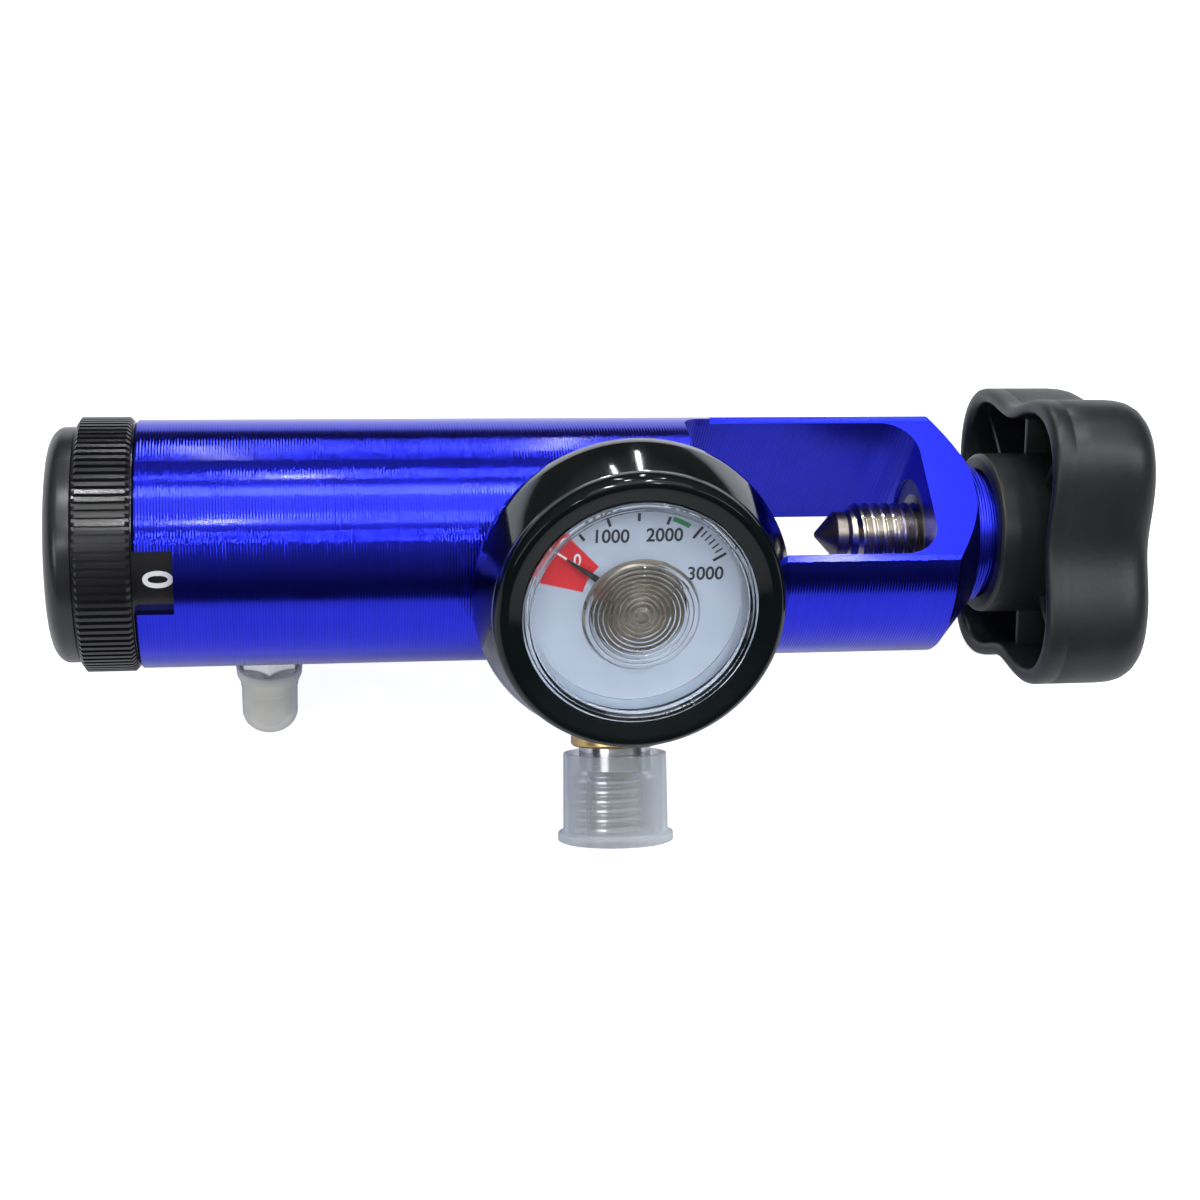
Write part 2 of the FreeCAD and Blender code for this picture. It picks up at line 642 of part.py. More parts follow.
# Flow knob: skirt with the numbers, web, square-holed boss and ribbed grip
knob_face = ball_left - SCREW_CLEARANCE
grip_right = BARREL_LEFT - KNOB_GAP
grip_left = grip_right - GRIP_LENGTH
skirt_r = SKIRT_BORE_R - SKIRT_CLEARANCE
skirt_right = skirt_floor - SKIRT_CLEARANCE
skirt_bore_r = skirt_r - SKIRT_WALL
web_left = knob_face - KNOB_WEB
flow_knob = turned([
    (skirt_right, skirt_bore_r),
    (skirt_right, skirt_r),
    (grip_right, skirt_r),
    (grip_right, GRIP_ROOT_R),
    (grip_left, GRIP_ROOT_R),
    (grip_left, CAP_SPIGOT_R),
    (web_left, CAP_SPIGOT_R),
    (web_left, 0),
    (knob_face, 0),
    (knob_face, skirt_bore_r),
])
rib_points = []
for i in range(RIB_COUNT):
    for share, radius in ((0.0, GRIP_ROOT_R - EDGE_BREAK / 2), (0.3, GRIP_R), (0.7, GRIP_R)):
        angle = 2 * math.pi * (i + share) / RIB_COUNT
        rib_points.append(Vector(grip_left, radius * math.cos(angle), radius * math.sin(angle)))
rib_face = Part.Face(Part.makePolygon(rib_points + rib_points[:1]))
ribs = rib_face.extrude(Vector(GRIP_LENGTH, 0, 0))
ribs = ribs.common(turned([
    (grip_left, 0),
    (grip_left, GRIP_ROOT_R - EDGE_BREAK),
    (grip_left + 2 * EDGE_BREAK, GRIP_R),
    (grip_right - EDGE_BREAK, GRIP_R),
    (grip_right, GRIP_R - EDGE_BREAK),
    (grip_right, 0),
]))
ribs = ribs.cut(rod(skirt_r - SKIRT_WALL / 2, grip_left, grip_right))
smooth_grip = rod(BARREL_R, grip_left, grip_right).cut(rod(skirt_r - SKIRT_WALL / 2, grip_left, grip_right))
flow_knob = flow_knob.cut(smooth_grip).fuse(ribs)
flow_knob = flow_knob.cut(Part.makeBox(
    KNOB_WEB, SPINDLE_SQUARE, SPINDLE_SQUARE,
    Vector(web_left, -half_square, -half_square),
))
for i in range(ORIFICE_COUNT):
    y, z = around(BALL_CIRCLE_R, 90 + 360 * i / ORIFICE_COUNT)
    dimple = Part.makeSphere(BALL_R, Vector(knob_face + BALL_R - DIMPLE_DEPTH, y, z))
    flow_knob = flow_knob.cut(dimple)

# Spindle: pilot in the seat, square through disc and knob, tapped at the end
spindle_end = web_left + SKIRT_CLEARANCE
selector_spindle = rod(SPINDLE_PILOT_R, disc_right, pilot_tip)
square_bar = Part.makeBox(
    DISC_THICK, SPINDLE_SQUARE, SPINDLE_SQUARE,
    Vector(disc_left, -half_square, -half_square),
)
selector_spindle = selector_spindle.fuse(square_bar)
selector_spindle = selector_spindle.fuse(rod(SPINDLE_R, knob_face, disc_left))
knob_square = Part.makeBox(
    knob_face - spindle_end, SPINDLE_SQUARE, SPINDLE_SQUARE,
    Vector(spindle_end, -half_square, -half_square),
)
selector_spindle = selector_spindle.fuse(knob_square)
screw_hole_end = web_left + KNOB_SCREW_LENGTH
selector_spindle = selector_spindle.cut(rod(KNOB_SCREW_R, spindle_end, screw_hole_end))
knob_screw = rod(KNOB_SCREW_R, web_left, screw_hole_end)
knob_screw = knob_screw.fuse(rod(KNOB_SCREW_HEAD_R, web_left - KNOB_SCREW_HEAD, web_left))
socket = Part.makeCylinder(KNOB_SCREW_R, KNOB_SCREW_HEAD / 2, Vector(web_left - KNOB_SCREW_HEAD, 0, 0), X_AXIS)
knob_screw = knob_screw.cut(socket)

# Domed cap pressed into the grip
cap_straight_x = grip_left - CAP_STRAIGHT
cap_end = cap_straight_x - CAP_CORNER_LENGTH
cap_inner_r = CAP_SPIGOT_R - CAP_WALL
outer_arc = corner_arc(cap_straight_x, CAP_R, CAP_CORNER_LENGTH, CAP_CORNER_DROP)
knob_cap = turned(
    [(grip_left, CAP_SPIGOT_R), (grip_left, CAP_R), (cap_straight_x, CAP_R)]
    + outer_arc
    + [
        (cap_end, 0),
        (cap_end + CAP_WALL, 0),
        (cap_end + CAP_WALL, CAP_R - CAP_CORNER_DROP),
        (cap_straight_x, cap_inner_r),
        (grip_left + CAP_SPIGOT_LENGTH, cap_inner_r),
        (grip_left + CAP_SPIGOT_LENGTH, CAP_SPIGOT_R),
    ]
)

# Gauge case: a cup that narrows towards the front
side_top = CASE_BACK + CASE_CORNER + CASE_SIDE
case_inner_r = CASE_R - CASE_WALL
front_inner_r = CASE_FRONT_R - CASE_WALL
gauge_case = turned_up([
    (0, CASE_BACK),
    (CASE_R - CASE_CORNER, CASE_BACK),
    (CASE_R - CASE_CORNER * 0.3, CASE_BACK + CASE_CORNER * 0.3),
    (CASE_R, CASE_BACK + CASE_CORNER),
    (CASE_R, side_top),
    (CASE_FRONT_R, BEZEL_BACK),
    (front_inner_r, BEZEL_BACK),
    (case_inner_r, side_top),
    (case_inner_r, CASE_BACK + CASE_WALL),
    (0, CASE_BACK + CASE_WALL),
])
gauge_case = gauge_case.cut(post(PORT_THREAD_R, CASE_BACK, CASE_BACK + CASE_WALL))

# Bezel ring and moulded lens
bezel_rise = BEZEL_FRONT - BEZEL_BACK
lens_back = LENS_FRONT - LENS_THICK
lens_seat_r = LENS_R - EDGE_BREAK
gauge_bezel = turned_up([
    (CASE_FRONT_R, BEZEL_BACK),
    (CASE_FRONT_R, BEZEL_BACK + bezel_rise * 0.45),
    (CASE_FRONT_R - BEZEL_SHOULDER, BEZEL_BACK + bezel_rise * 0.8),
    (BEZEL_CREST_R, BEZEL_FRONT),
    (BEZEL_INNER_CREST_R, BEZEL_FRONT),
    (LENS_R, LENS_FRONT),
    (LENS_R, lens_back),
    (lens_seat_r, lens_back),
    (lens_seat_r, lens_back - EDGE_BREAK),
    (front_inner_r, lens_back - EDGE_BREAK),
    (front_inner_r, BEZEL_BACK),
])
rim_inner_r = LENS_R - LENS_RIM_WIDTH
gauge_lens = turned_up([
    (0, lens_back),
    (LENS_R, lens_back),
    (LENS_R, LENS_FRONT),
    (LENS_R - EDGE_BREAK, LENS_FRONT + LENS_RIM_HEIGHT),
    (rim_inner_r, LENS_FRONT + LENS_RIM_HEIGHT),
    (rim_inner_r - EDGE_BREAK, LENS_FRONT),
    (LENS_BOSS_R, LENS_FRONT),
    (LENS_BOSS_R - EDGE_BREAK, LENS_FRONT + LENS_BOSS_HEIGHT),
    (0, LENS_FRONT + LENS_BOSS_HEIGHT),
])

# Dial on four short feet that stand on the case's back
dial_under = DIAL_HEIGHT - DIAL_THICK
dial_inner_r = ARBOR_R + SCREW_CLEARANCE
gauge_dial = post(DIAL_R, dial_under, DIAL_HEIGHT).cut(post(dial_inner_r, dial_under, DIAL_HEIGHT))
case_floor = CASE_BACK + CASE_WALL
for quarter in range(4):
    foot = post(DIAL_FOOT_R, case_floor, dial_under)
    foot.translate(Vector(DIAL_R - DIAL_FOOT_INSET, 0, 0))
    foot.rotate(ORIGIN, Z_AXIS, 45 + 90 * quarter)
    gauge_dial = gauge_dial.fuse(foot)

# Socket with the bridge that carries the arbor, and the C-shaped pressure tube
stem_top = case_floor + STEM_HEAD_THICK
bridge_top = stem_top + STEM_BRIDGE_HEIGHT
gauge_stem = post(PORT_THREAD_R, PORT_BOTTOM, case_floor)
gauge_stem = gauge_stem.fuse(post(STEM_HEAD_R, case_floor, stem_top))
arm_length = TUBE_RING_R + TUBE_WIDTH / 2
arm = Part.makeBox(arm_length, TUBE_HEIGHT, STEM_HEAD_THICK, Vector(0, -TUBE_HEIGHT / 2, case_floor))
gauge_stem = gauge_stem.fuse(arm)
gauge_stem = gauge_stem.fuse(post(STEM_BRIDGE_R, stem_top, bridge_top))
gauge_stem = gauge_stem.cut(post(STEM_BORE_R, PORT_BOTTOM, stem_top - STEM_HEAD_THICK / 2))
arbor_hole = post(dial_inner_r, stem_top - ARBOR_SOCKET, bridge_top)
gauge_stem = gauge_stem.cut(arbor_hole)
tube_base = stem_top
tube_section = Part.makePlane(
    TUBE_WIDTH, min(TUBE_HEIGHT, dial_under - tube_base - TUBE_CLEARANCE),
    Vector(TUBE_RING_R - TUBE_WIDTH / 2, 0, tube_base), Vector(0, -1, 0), X_AXIS,
)
bourdon_tube = tube_section.revolve(ORIGIN, Z_AXIS, TUBE_ARC)

# Pointer, its round hub and arbor turn together
pointer_base = DIAL_HEIGHT + POINTER_HEIGHT
pointer_top = pointer_base + POINTER_THICK
pointer_outline = [
    Vector(0, -POINTER_WIDTH / 2, pointer_base),
    Vector(POINTER_REACH, -POINTER_TIP / 2, pointer_base),
    Vector(POINTER_REACH, POINTER_TIP / 2, pointer_base),
    Vector(0, POINTER_WIDTH / 2, pointer_base),
]
gauge_pointer = Part.Face(Part.makePolygon(pointer_outline + pointer_outline[:1]))
gauge_pointer = gauge_pointer.extrude(Vector(0, 0, POINTER_THICK))
gauge_pointer = gauge_pointer.fuse(post(POINTER_WIDTH, pointer_base, pointer_top))
gauge_pointer.rotate(ORIGIN, Z_AXIS, POINTER_ZERO)
pointer_arbor = post(ARBOR_R, stem_top - ARBOR_SOCKET * 2 / 3, pointer_base)
pointer_hub = turned_up([
    (0, pointer_top),
    (HUB_R, pointer_top),
    (HUB_R, pointer_top + HUB_THICK / 2),
    (HUB_R - HUB_THICK / 2, pointer_top + HUB_THICK),
    (0, pointer_top + HUB_THICK),
])

# Threaded outlet: hexagon, neck, brass collar and 9/16 inch thread
outlet_fitting = turned_up([
    (OUTLET_BORE_R, PORT_BOTTOM),
    (PORT_THREAD_R, PORT_BOTTOM),
    (PORT_THREAD_R, OUTLET_HEX_TOP),
    (OUTLET_NECK_R, OUTLET_HEX_TOP),
    (OUTLET_NECK_R, OUTLET_COLLAR_BASE),
    (OUTLET_COLLAR_R, OUTLET_COLLAR_BASE),
    (OUTLET_COLLAR_R, OUTLET_COLLAR_TOP),
    (OUTLET_NECK_R, OUTLET_COLLAR_TOP),
    (OUTLET_NECK_R, OUTLET_THREAD_BASE),
    (OUTLET_THREAD_R, OUTLET_THREAD_BASE),
    (OUTLET_THREAD_R, OUTLET_END - EDGE_BREAK),
    (OUTLET_THREAD_R - EDGE_BREAK, OUTLET_END),
    (OUTLET_MOUTH_R, OUTLET_END),
    (OUTLET_MOUTH_R, OUTLET_END - OUTLET_MOUTH_LENGTH),
    (OUTLET_BORE_R, OUTLET_END - OUTLET_MOUTH_LENGTH),
])
outlet_hex = hexagon(OUTLET_HEX, OUTLET_HEX_BASE, OUTLET_HEX_TOP)
outlet_hex = outlet_hex.cut(post(PORT_THREAD_R, OUTLET_HEX_BASE, OUTLET_HEX_TOP))
outlet_fitting = outlet_fitting.fuse(outlet_hex)

# Check poppet held shut against the mouth by its spring
poppet_top = OUTLET_END - OUTLET_MOUTH_LENGTH - POPPET_GAP
poppet_base = poppet_top - POPPET_THICK
check_poppet = post(POPPET_R, poppet_base, poppet_top)
check_poppet = check_poppet.fuse(post(POPPET_STEM_R, poppet_top, OUTLET_END - EDGE_BREAK))
check_poppet = check_poppet.fuse(post(POPPET_STEM_R, poppet_base - POPPET_THICK, poppet_base))
check_coil_r = OUTLET_BORE_R - CHECK_COIL_GAP - CHECK_WIRE_R
check_spring = coil(check_coil_r, CHECK_WIRE_R, CHECK_SPRING_LENGTH - 2 * POPPET_GAP, CHECK_SPRING_TURNS)
check_spring.translate(Vector(0, 0, poppet_base - CHECK_SPRING_LENGTH + POPPET_GAP))
ledge_top = poppet_base - CHECK_SPRING_LENGTH
ledge = post(OUTLET_BORE_R, PORT_BOTTOM, ledge_top).cut(post(POPPET_STEM_R, PORT_BOTTOM, ledge_top))
outlet_fitting = outlet_fitting.fuse(ledge)

# Flanged push-on cap over the thread
outlet_cap_bore_r = OUTLET_THREAD_R + OUTLET_CAP_CLEARANCE
outlet_cap_r = outlet_cap_bore_r + OUTLET_CAP_WALL
outlet_cap_floor = OUTLET_CAP_END - OUTLET_CAP_FLANGE
outlet_cap = turned_up([
    (outlet_cap_bore_r, OUTLET_CAP_MOUTH),
    (outlet_cap_r, OUTLET_CAP_MOUTH),
    (outlet_cap_r, outlet_cap_floor),
    (OUTLET_CAP_FLANGE_R, outlet_cap_floor),
    (OUTLET_CAP_FLANGE_R, OUTLET_CAP_END),
    (0, OUTLET_CAP_END),
    (0, outlet_cap_floor),
    (outlet_cap_bore_r, outlet_cap_floor),
])

# Hose barb: thread, hexagon and a tube with ridges that face the barrel
ridge_points = []
for i in range(BARB_RIDGES):
    top = BARB_END - i * BARB_RIDGE_LENGTH
    ridge_points.append((BARB_TUBE_R, top))
    ridge_points.append((BARB_RIDGE_R, top - BARB_RIDGE_LENGTH * 0.8))
    ridge_points.append((BARB_TUBE_R, top - BARB_RIDGE_LENGTH * 0.85))
ridge_points.reverse()
hose_barb = turned_up(
    [(BARB_BORE_R, barb_root), (BARB_THREAD_R, barb_root), (BARB_THREAD_R, BARB_HEX_TOP)]
    + [(BARB_TUBE_R, BARB_HEX_TOP)]
    + ridge_points
    + [(BARB_BORE_R, BARB_END)]
)
barb_hex = hexagon(BARB_HEX, BARB_HEX_BASE, BARB_HEX_TOP)
barb_hex = barb_hex.cut(post(BARB_THREAD_R, BARB_HEX_BASE, BARB_HEX_TOP))
hose_barb = hose_barb.fuse(barb_hex)

# Rounded push-on cap with a flared mouth
flare_top = BARB_CAP_MOUTH + BARB_CAP_FLARE_LENGTH
round_base = BARB_CAP_END - BARB_CAP_ROUND
cap_round = []
for i in range(7):
    angle = math.pi / 2 * i / 6
    cap_round.append((
        BARB_CAP_R - BARB_CAP_ROUND * (1 - math.cos(angle)),
        round_base + BARB_CAP_ROUND * math.sin(angle),
    ))
barb_cap_floor = BARB_CAP_END - (BARB_CAP_R - BARB_CAP_BORE_R)
barb_cap = turned_up(
    [(BARB_CAP_FLARE_BORE_R, BARB_CAP_MOUTH), (BARB_CAP_FLARE_R, BARB_CAP_MOUTH), (BARB_CAP_R, flare_top)]
    + cap_round
    + [(0, BARB_CAP_END), (0, barb_cap_floor), (BARB_CAP_BORE_R / 2, barb_cap_floor)]
    + [(BARB_CAP_BORE_R, round_base), (BARB_CAP_BORE_R, flare_top), (BARB_CAP_FLARE_BORE_R, BARB_HEX_TOP)]
)

# Steel bush in the yoke's end wall
screw_hole_r = SCREW_R + SCREW_CLEARANCE
thread_insert = turned([
    (insert_left, screw_hole_r + INSERT_CHAMFER),
    (insert_left, INSERT_R),
    (insert_right, INSERT_R),
    (insert_right, screw_hole_r),
    (insert_left + INSERT_CHAMFER, screw_hole_r),
])

# Clamp screw, and the hard point that turns freely in its end
dog_left = SCREW_TIP_X + CONE_TIP_LENGTH
dog_right = dog_left + DOG_LENGTH
tip_stem_end = dog_right + TIP_STEM_LENGTH
screw_tip = turned([
    (SCREW_TIP_X, 0),
    (SCREW_TIP_X, CONE_TIP_R),
    (dog_left, DOG_R),
    (dog_right, DOG_R),
    (dog_right, TIP_STEM_R),
    (tip_stem_end, TIP_STEM_R),
    (tip_stem_end, 0),
])
tip_hole_r = TIP_STEM_R + SCREW_CLEARANCE
screw_start = dog_right + SCREW_CLEARANCE
clamp_screw = turned([
    (screw_start, tip_hole_r),
    (screw_start, SCREW_R - SCREW_CHAMFER),
    (screw_start + SCREW_CHAMFER, SCREW_R),
    (SCREW_END, SCREW_R),
    (SCREW_END, 0),
    (tip_stem_end + SCREW_CLEARANCE, 0),
    (tip_stem_end + SCREW_CLEARANCE, tip_hole_r),
])


def lobed_outline(x, inset):
    """The knob's outline of four lobes and four hollows, as tangent arcs."""
    lobe_c = LOBE_R - LOBE_ROUND
    lean = lobe_c * math.cos(math.pi / 4)
    gap = lobe_c ** 2 + VALLEY_R ** 2 - 2 * VALLEY_R * lean - LOBE_ROUND ** 2
    valley_round = gap / (2 * (LOBE_ROUND - VALLEY_R + lean))
    valley_c = VALLEY_R + valley_round
    edges = []
    for i in range(4):
        lobe_angle = math.radians(90 * i)
        after = math.radians(45 + 90 * i)
        before = math.radians(-45 + 90 * i)
        centre = (lobe_c * math.cos(lobe_angle), lobe_c * math.sin(lobe_angle))
        joints = []
        for side in (before, after):
            far = (valley_c * math.cos(side), valley_c * math.sin(side))
            span = math.hypot(far[0] - centre[0], far[1] - centre[1])
            unit = ((far[0] - centre[0]) / span, (far[1] - centre[1]) / span)
            reach = LOBE_ROUND - inset
            joints.append(Vector(x, centre[0] + unit[0] * reach, centre[1] + unit[1] * reach))
        crest = LOBE_R - inset
        top = Vector(x, crest * math.cos(lobe_angle), crest * math.sin(lobe_angle))
        edges.append(Part.Arc(joints[0], top, joints[1]).toShape())
        dip = VALLEY_R - inset
        low = Vector(x, dip * math.cos(after), dip * math.sin(after))
        next_c = math.radians(90 + 90 * i)
        centre2 = (lobe_c * math.cos(next_c), lobe_c * math.sin(next_c))
        far = (valley_c * math.cos(after), valley_c * math.sin(after))
        span = math.hypot(far[0] - centre2[0], far[1] - centre2[1])
        unit = ((far[0] - centre2[0]) / span, (far[1] - centre2[1]) / span)
        reach = LOBE_ROUND - inset
        start = Vector(x, centre2[0] + unit[0] * reach, centre2[1] + unit[1] * reach)
        edges.append(Part.Arc(joints[1], low, start).toShape())
    return Part.Wire(edges)


# Hand knob: lobed cup open towards the barrel, with a hub and eight thin ribs
shell = Part.Face(lobed_outline(RIM_X, 0)).extrude(Vector(KNOB_BACK - RIM_X, 0, 0))
back_edges = [e for e in shell.Edges if e.BoundBox.XMin > KNOB_BACK - 0.01]
shell = shell.makeFillet(KNOB_EDGE, back_edges)
rim_edges = [e for e in shell.Edges if e.BoundBox.XMax < RIM_X + 0.01]
shell = shell.makeFillet(RIM_EDGE, rim_edges)
floor_x = KNOB_BACK - KNOB_FLOOR
hollow = Part.Face(lobed_outline(RIM_X, KNOB_WALL)).extrude(Vector(floor_x - RIM_X, 0, 0))
hand_knob = shell.cut(hollow)
hub_recess_r = NECK_R + NECK_CLEARANCE
recess_end = HUB_FRONT + HUB_RECESS_DEPTH
hand_knob = hand_knob.fuse(rod(HUB_OUTER_R, HUB_FRONT, floor_x))
for i in range(8):
    rib = Part.makeBox(floor_x - RIB_FRONT, LOBE_R, RIB_THICK, Vector(RIB_FRONT, 0, -RIB_THICK / 2))
    rib.rotate(ORIGIN, X_AXIS, 45 * i)
    hand_knob = hand_knob.fuse(rib.common(hollow))
hand_knob = hand_knob.cut(rod(hub_recess_r, HUB_FRONT, recess_end))
hand_knob = hand_knob.cut(rod(SCREW_R, recess_end, SCREW_END))
hand_knob.rotate(ORIGIN, X_AXIS, -LOBE_TURN)

# Write one file per piece
pieces = {
    "body": body,
    "core": core,
    "inlet_nipple": inlet_nipple,
    "inlet_filter": inlet_filter,
    "seal_washer": seal_washer,
    "index_pins": index_pins,
    "piston": piston,
    "seat_pad": seat_pad,
    "piston_o_ring": piston_o_ring,
    "stem_o_ring": stem_o_ring,
    "piston_spring": piston_spring,
    "flow_seat": flow_seat,
    "orifice_disc": orifice_disc,
    "outlet_block": outlet_block,
    "selector_spindle": selector_spindle,
    "spindle_o_ring": spindle_o_ring,
    "retaining_ring": retaining_ring,
    "detent_balls": detent_balls,
    "detent_springs": detent_springs,
    "flow_knob": flow_knob,
    "knob_screw": knob_screw,
    "knob_cap": knob_cap,
    "gauge_case": outward(gauge_case, GAUGE_X, GAUGE_ELEVATION),
    "gauge_bezel": outward(gauge_bezel, GAUGE_X, GAUGE_ELEVATION),
    "gauge_lens": outward(gauge_lens, GAUGE_X, GAUGE_ELEVATION),
    "gauge_dial": outward(gauge_dial, GAUGE_X, GAUGE_ELEVATION),
    "gauge_stem": outward(gauge_stem, GAUGE_X, GAUGE_ELEVATION),
    "bourdon_tube": outward(bourdon_tube, GAUGE_X, GAUGE_ELEVATION),
    "gauge_pointer": outward(gauge_pointer, GAUGE_X, GAUGE_ELEVATION),
    "pointer_hub": outward(pointer_hub, GAUGE_X, GAUGE_ELEVATION),
    "pointer_arbor": outward(pointer_arbor, GAUGE_X, GAUGE_ELEVATION),
    "outlet_fitting": outward(outlet_fitting, OUTLET_X, OUTLET_ELEVATION),
    "check_poppet": outward(check_poppet, OUTLET_X, OUTLET_ELEVATION),
    "check_spring": outward(check_spring, OUTLET_X, OUTLET_ELEVATION),
    "outlet_cap": outward(outlet_cap, OUTLET_X, OUTLET_ELEVATION),
    "hose_barb": outward(hose_barb, BARB_X, BARB_ELEVATION),
    "barb_cap": outward(barb_cap, BARB_X, BARB_ELEVATION),
    "thread_insert": thread_insert,
    "clamp_screw": clamp_screw,
    "screw_tip": screw_tip,
    "hand_knob": hand_knob,
}
os.makedirs("parts", exist_ok=True)
for name, shape in pieces.items():
    shape.exportStep("parts/" + name + ".step")
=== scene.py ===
import math

import bpy
from mathutils import Matrix, Vector


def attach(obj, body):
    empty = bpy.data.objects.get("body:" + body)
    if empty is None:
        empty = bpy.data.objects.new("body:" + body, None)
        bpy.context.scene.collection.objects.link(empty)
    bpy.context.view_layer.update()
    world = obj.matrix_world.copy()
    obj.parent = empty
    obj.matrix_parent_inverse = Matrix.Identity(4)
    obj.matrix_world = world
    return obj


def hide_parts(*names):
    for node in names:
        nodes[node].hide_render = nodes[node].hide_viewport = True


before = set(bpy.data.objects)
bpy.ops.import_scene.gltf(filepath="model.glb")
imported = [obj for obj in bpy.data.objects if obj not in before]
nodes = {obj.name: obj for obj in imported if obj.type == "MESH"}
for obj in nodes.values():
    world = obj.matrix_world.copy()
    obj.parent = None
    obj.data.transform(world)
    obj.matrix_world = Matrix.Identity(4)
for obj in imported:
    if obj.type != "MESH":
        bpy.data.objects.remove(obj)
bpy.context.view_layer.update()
MM = 0.001

# The studio: a pale floor, a white surround and soft lamps, with the camera
# close to the regulator, above its front left, where the photograph was taken.
FLOOR_SIZE = 4
FLOOR_LEVEL = -36
FLOOR_GREY = (0.6, 0.61, 0.64, 1)
FLOOR_LIFTS = {"Is Camera Ray": 0.8, "Is Transmission Ray": 0.2, "Is Glossy Ray": 0.1}
WHITE = (1, 1, 1, 1)

scene = bpy.context.scene
scene.view_settings.view_transform = "Standard"
bpy.ops.object.select_all(action="DESELECT")
bpy.ops.mesh.primitive_plane_add(size=FLOOR_SIZE, location=(0, 0, FLOOR_LEVEL * MM))
floor = bpy.context.object
floor.name = "floor"
pale = bpy.data.materials.new("pale floor")
pale.use_nodes = True
pale_nodes = pale.node_tree.nodes
pale_links = pale.node_tree.links
surface = pale_nodes["Principled BSDF"]
surface.inputs["Base Color"].default_value = FLOOR_GREY
surface.inputs["Roughness"].default_value = 0.7
surface.inputs["Emission Color"].default_value = WHITE
rays = pale_nodes.new("ShaderNodeLightPath")
lit = None
for kind, strength in FLOOR_LIFTS.items():
    lift = pale_nodes.new("ShaderNodeMath")
    lift.operation = "MULTIPLY_ADD"
    lift.inputs[1].default_value = strength
    lift.inputs[2].default_value = 0.0
    pale_links.new(rays.outputs[kind], lift.inputs[0])
    if lit:
        pale_links.new(lit, lift.inputs[2])
    lit = lift.outputs[0]
pale_links.new(lit, surface.inputs["Emission Strength"])
floor.data.materials.append(pale)

# The surround lights the regulator dimly, more from above, and is white to the
# camera. What is seen through glass is lit by a small share of that white.
SKY_HEIGHTS = (0.25, 0.85)
SKY_STRENGTHS = (0.06, 0.36)
SKY_TINT = (0.95, 0.97, 1, 1)
WHITE_THROUGH_GLASS = 0.15

world = bpy.data.worlds.new("surround")
scene.world = world
world.use_nodes = True
sky = world.node_tree.nodes
sky_links = world.node_tree.links
sky.clear()
where = sky.new("ShaderNodeTexCoord")
parts = sky.new("ShaderNodeSeparateXYZ")
sky_links.new(where.outputs["Generated"], parts.inputs[0])
height = sky.new("ShaderNodeMapRange")
height.inputs["From Min"].default_value, height.inputs["From Max"].default_value = SKY_HEIGHTS
height.inputs["To Min"].default_value, height.inputs["To Max"].default_value = SKY_STRENGTHS
sky_links.new(parts.outputs["Z"], height.inputs["Value"])
glow = sky.new("ShaderNodeBackground")
glow.inputs["Color"].default_value = SKY_TINT
sky_links.new(height.outputs["Result"], glow.inputs["Strength"])
white = sky.new("ShaderNodeBackground")
white.inputs["Color"].default_value = WHITE
seen = sky.new("ShaderNodeLightPath")
either = sky.new("ShaderNodeMath")
either.operation = "MULTIPLY_ADD"
either.inputs[1].default_value = WHITE_THROUGH_GLASS
sky_links.new(seen.outputs["Is Transmission Ray"], either.inputs[0])
sky_links.new(seen.outputs["Is Camera Ray"], either.inputs[2])
choice = sky.new("ShaderNodeMixShader")
sky_links.new(either.outputs[0], choice.inputs["Fac"])
sky_links.new(glow.outputs[0], choice.inputs[1])
sky_links.new(white.outputs[0], choice.inputs[2])
sky_out = sky.new("ShaderNodeOutputWorld")
sky_links.new(choice.outputs[0], sky_out.inputs["Surface"])

# Each lamp is (elevation above the front, place along the barrel, distance,
# width, length, watts), with lengths in metres, and turned to the regulator.
LAMPS = [
    (57, -0.30, 1.0, 0.03, 0.05, 0.55),
    (63, 0.22, 1.0, 0.03, 0.05, 0.65),
    (74, -0.10, 1.0, 0.03, 0.06, 0.8),
    (80, 0.35, 1.0, 0.03, 0.05, 0.6),
    (101, -0.22, 1.0, 0.03, 0.10, 1.6),
    (105, 0.16, 1.0, 0.03, 0.06, 0.9),
    (117, -0.05, 1.0, 0.03, 0.06, 0.8),
    (124, 0.30, 1.0, 0.03, 0.05, 0.6),
    (146, -0.1, 0.9, 0.02, 0.3, 0.7),
    (155, 0.1, 0.9, 0.02, 0.3, 0.8),
    (48, -0.9, 1.0, 0.5, 0.5, 2.6),
    (70, 0.9, 1.0, 0.5, 0.5, 3.2),
    (90, 0.1, 1.3, 0.9, 1.4, 5.0),
]
for elevation, along, distance, width, length, watts in LAMPS:
    rise = math.radians(elevation)
    place = Vector((along, -distance * math.cos(rise), distance * math.sin(rise)))
    bpy.ops.object.light_add(type="AREA", location=place)
    lamp = bpy.context.object
    lamp.rotation_euler = place.to_track_quat("Z", "X").to_euler()
    lamp.data.shape = "RECTANGLE"
    lamp.data.size = length
    lamp.data.size_y = width
    lamp.data.energy = watts

CAMERA_AT = Vector((-62.20, -172.63, 247.48))
CAMERA_RIGHT = Vector((0.98750, -0.10108, 0.12096))
CAMERA_UP = Vector((0.01835, 0.83582, 0.54869))
CAMERA_VIEW = Vector((0.15657, 0.53962, -0.82723))
CAMERA_LENS = 60.9

bpy.ops.object.camera_add()
camera = bpy.context.object
aim = Matrix((CAMERA_RIGHT, CAMERA_UP, -CAMERA_VIEW)).transposed()
camera.matrix_world = Matrix.Translation(CAMERA_AT * MM) @ aim.to_4x4()
camera.data.sensor_width = 36
camera.data.lens = CAMERA_LENS
camera.data.clip_start = 0.01
scene.camera = camera


